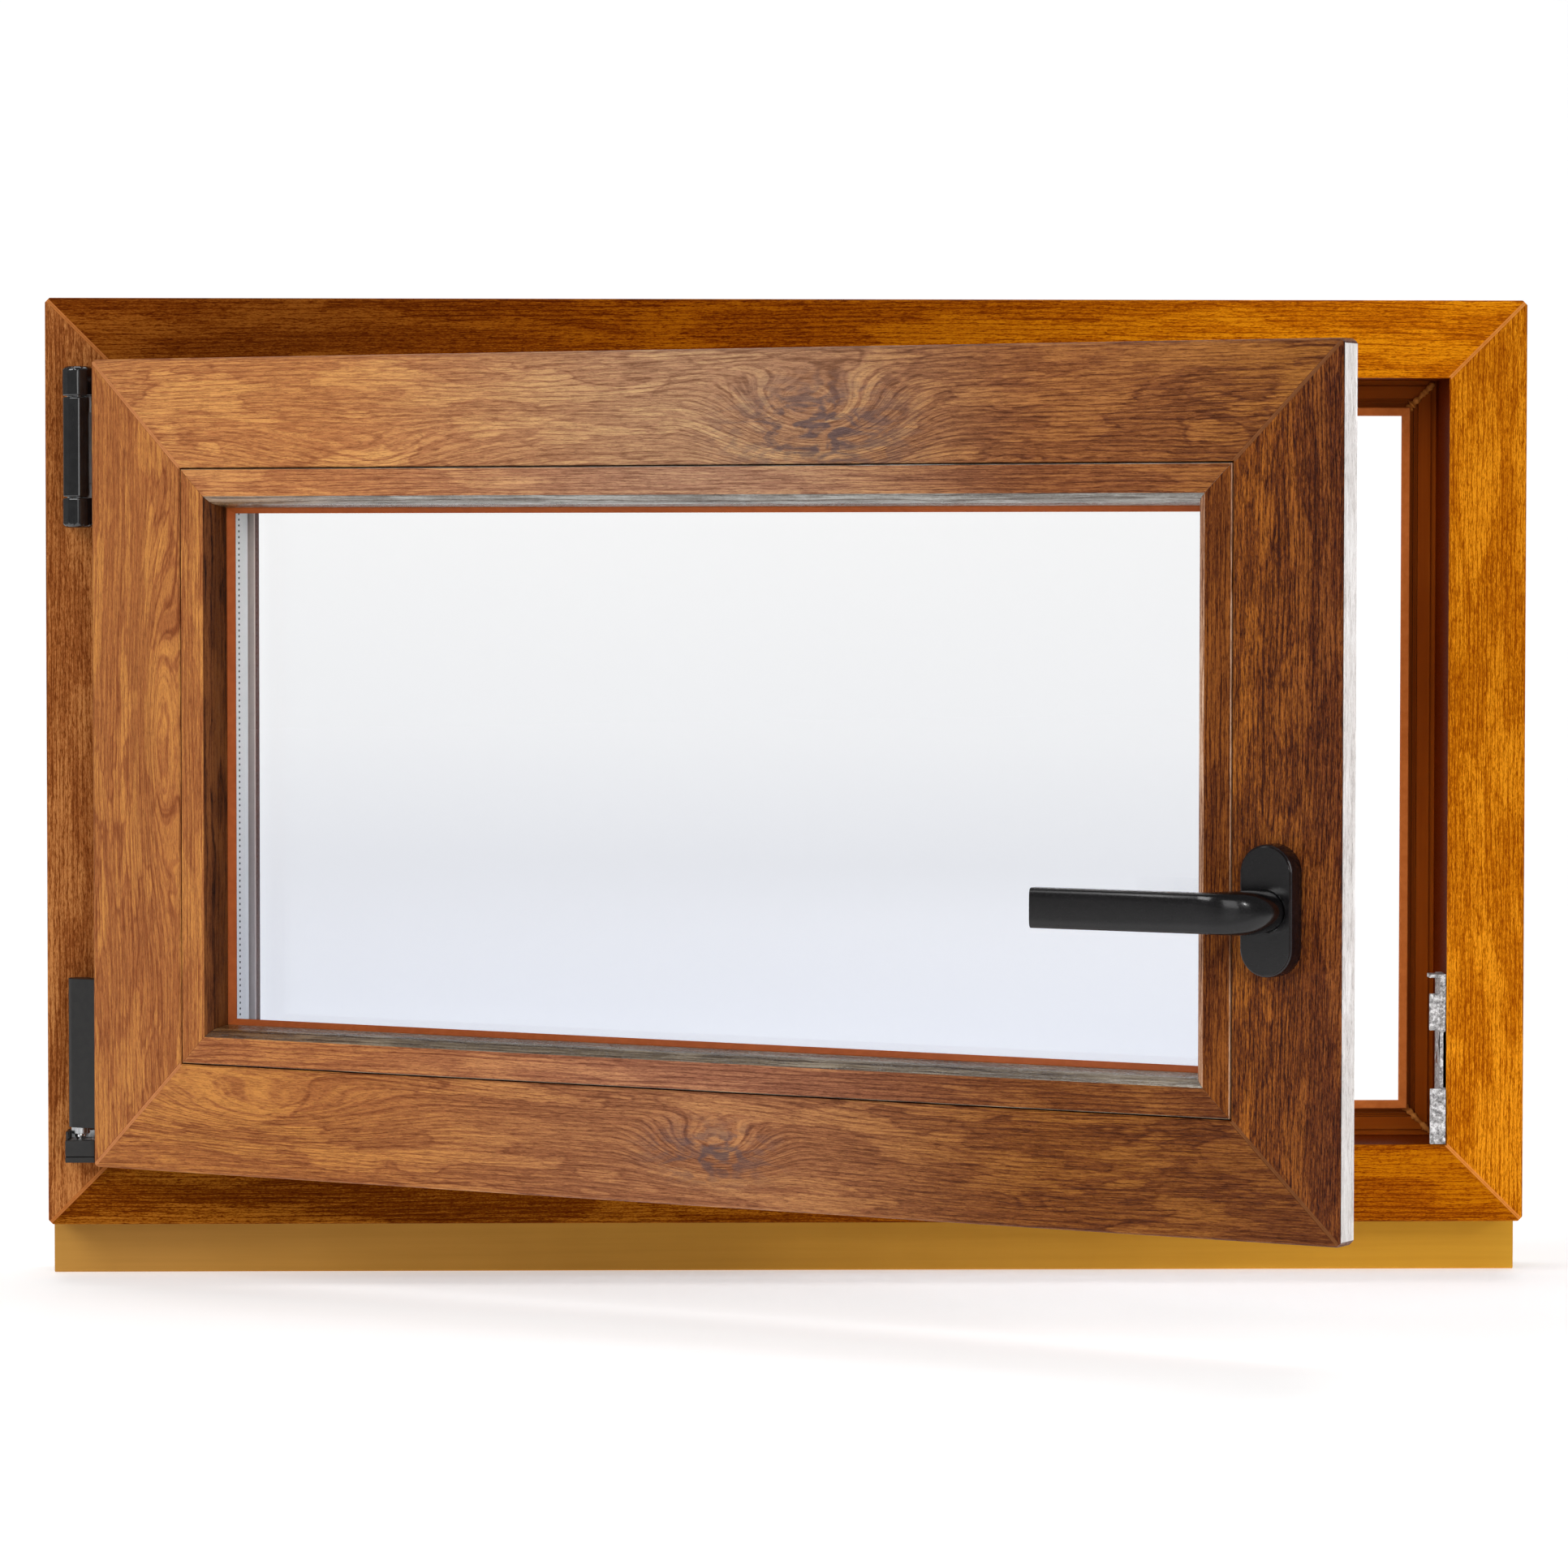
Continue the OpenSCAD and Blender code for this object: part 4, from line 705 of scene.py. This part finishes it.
def rosette():
    """The cover: a side that leans in slightly, a crisp rim, and a front plate with a hole round the neck."""
    outside = [(0, 0.0), (0.0, 1.0), (0.25, ROSETTE_H - 1.9), (0.5, ROSETTE_H - 1.2),
               (1.15, ROSETTE_H - 0.85), (1.3, ROSETTE_H - 0.25), (1.55, ROSETTE_H)]
    inside = [(1.9, ROSETTE_H - ROSETTE_WALL), (1.5, 0.0)]
    outside, inside = ([stadium(ROSETTE_W - 2 * inset, ROSETTE_L - 2 * inset, out) for inset, out in profile]
                       for profile in (outside, inside))
    rings = list(outside)
    count = len(rings[0])
    hole = NECK_R + 0.4
    for out in (ROSETTE_H, ROSETTE_H - ROSETTE_WALL):
        ring = []
        for i in range(count):
            half = count // 2
            a = math.pi * (i % half) / (half - 1) + (0 if i < half else math.pi)
            ring.append(at_spindle(hole * math.cos(a), hole * math.sin(a), out))
        rings.append(ring)
    rings += [*inside, rings[0]]
    points, faces = skin(rings, (False, False))
    side = 4 * count  # the faces between the first five rings
    # the side and rim take the copy of the finish with the painted sheen
    face_mats = [1 if i < side else 0 for i in range(len(faces))]
    make_piece("rosette", points, faces, [bronze, bronze_side_sheen], "sash", ["rosette_cover"],
               face_mats, 28)


def weld_flash():
    """Ragged beads of plastic squeezed out along the mitres in the rebate corners."""
    rand = random.Random(7)
    flash = plastic("weld_flash", srgb(168, 96, 34), srgb(200, 128, 58), 0.55, 0.1, grain=500, relief=0.5)
    face = 42 * MM
    corner_x = 0.358
    depth = 18.1 * MM
    steps, round_steps = 26, 10
    room = Vector((0, -1, 0))
    corners = (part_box("frame_sill")[0].z + face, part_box("frame_head")[1].z - face)
    for sx in (-1, 1):
        for side, z0 in zip((1, -1), corners):
            across = Vector((sx, 0, side)).normalized()
            rings = []
            for k in range(steps + 1):
                part = k / steps
                reach = (1.2 + 16.6 * part) * MM
                wave = 0.2 * MM * math.sin(9 * part)
                centre = Vector((sx * (corner_x - reach), depth + wave, z0 + side * reach))
                bulge = (0.8 + 0.9 * rand.random() + 0.9 * (part > 0.72) * rand.random()) * MM
                if k in (0, steps):
                    bulge = 0.15 * MM
                ring = []
                for i in range(round_steps):
                    a = 2 * math.pi * i / round_steps
                    r = bulge * (0.8 + 0.4 * rand.random())
                    ring.append(centre + across * r * 1.25 * math.cos(a) + room * r * 0.9 * math.sin(a))
                rings.append(ring)
            points, faces = skin(rings)
            name = f"weld_flash_{'lock' if sx > 0 else 'hinge'}_{'low' if side > 0 else 'high'}"
            make_piece(name, points, faces, [flash], "frame", smooth_angle=80)


lever()
rosette()
weld_flash()

# ---------------------------------------------------------------- camera, floor, lights

# The photo's camera, as fitted to points of the window.
CAMERA_PLACE = (-0.0892, -3.2648, 0.4002)
yaw, pitch, roll = -0.0269, -0.0408, 0.0008
flat = Vector((-math.sin(yaw), math.cos(yaw), 0))
right = Vector((math.cos(yaw), math.sin(yaw), 0))
ahead = flat * math.cos(pitch) + Vector((0, 0, math.sin(pitch)))
up = -flat * math.sin(pitch) + Vector((0, 0, math.cos(pitch)))
right, up = (right * math.cos(roll) + up * math.sin(roll),
             up * math.cos(roll) - right * math.sin(roll))
camera = bpy.data.objects.new("camera", bpy.data.cameras.new("camera"))
camera.data.lens = 137.24
camera.data.sensor_width = 36
camera.data.clip_end = 60
facing = Matrix((right, up, -ahead)).transposed().to_4x4()
camera.matrix_world = Matrix.Translation(CAMERA_PLACE) @ facing
bpy.context.scene.collection.objects.link(camera)
bpy.context.scene.camera = camera


def backdrop():
    """A pale floor that sweeps up into a wall far behind the window, and glows behind it."""
    sweep, wall, top, side, steps = 2.2, 6.6, 8.0, 9.0, 24
    gap = 0.2 * MM  # under the window
    bend = wall - sweep
    outline = [(-side, 0.0), (sweep, 0.0)]
    for i in range(1, steps + 1):
        a = math.pi / 2 * i / steps
        outline.append((sweep + bend * math.sin(a), bend - bend * math.cos(a)))
    outline.append((wall, top))
    points = [(x, y, z - gap) for x in (-side, side) for y, z in outline]
    n = len(outline)
    faces = [(i, i + 1, n + i + 1, n + i) for i in range(n - 1)]
    mesh = bpy.data.meshes.new("floor")
    mesh.from_pydata(points, [], faces)
    for face in mesh.polygons:
        face.use_smooth = True
    net = Net("floor", 0.9, 0.1)
    cloud = net.noise(net.place, 1.5, detail=2)
    net.set("Base Color", net.mix(cloud, (0.9, 0.9, 0.9, 1), (0.94, 0.94, 0.94, 1)))
    net.set("Emission Color", (1, 1, 1, 1))
    near = net.span(net.axis(net.place, "Y"), -1.6, -0.9)
    sides = net.span(net.sum("ABSOLUTE", net.axis(net.place, "X")), 1.1, 2.4, 1, 0)
    glow = net.span(net.axis(net.place, "Y"), 0.3, 4.6, 0.45, 0.68, smooth=False)
    net.set("Emission Strength", net.sum("MULTIPLY", net.sum("MULTIPLY", near, sides), glow))
    mesh.materials.append(net.mat)
    floor = bpy.data.objects.new("floor", mesh)
    bpy.context.scene.collection.objects.link(floor)


def softbox(name, place, target, size, power, spread=180.0):
    """An area lamp that faces its target."""
    lamp = bpy.data.lights.new(name, "AREA")
    lamp.shape = "RECTANGLE"
    lamp.size, lamp.size_y = size
    lamp.energy = power
    lamp.spread = math.radians(spread)
    thing = bpy.data.objects.new(name, lamp)
    thing.location = place
    thing.rotation_euler = (Vector(target) - Vector(place)).to_track_quat("-Z", "Y").to_euler()
    bpy.context.scene.collection.objects.link(thing)


backdrop()
middle = (0, 0, 0.26)  # of the window
softbox("key", (-2.2, -2.6, 1.9), middle, (1.6, 1.6), 53)
softbox("fill", (2.4, -3.2, 1.2), middle, (0.28, 0.5), 14)
softbox("front", (0.7, -4.2, 1.1), middle, (2.0, 1.6), 24)
softbox("rim", (1.05, 0.12, 0.27), (0.26, -0.42, 0.27), (0.15, 1.2), 1.2, 40)
softbox("top", (0, 0.6, 2.8), middle, (2.6, 1.2), 25)
world = bpy.data.worlds.new("world")
world.use_nodes = True
world.node_tree.nodes["Background"].inputs["Color"].default_value = (1, 1, 1, 1)
world.node_tree.nodes["Background"].inputs["Strength"].default_value = 0.22
bpy.context.scene.world = world
bpy.context.scene.view_settings.view_transform = "Standard"
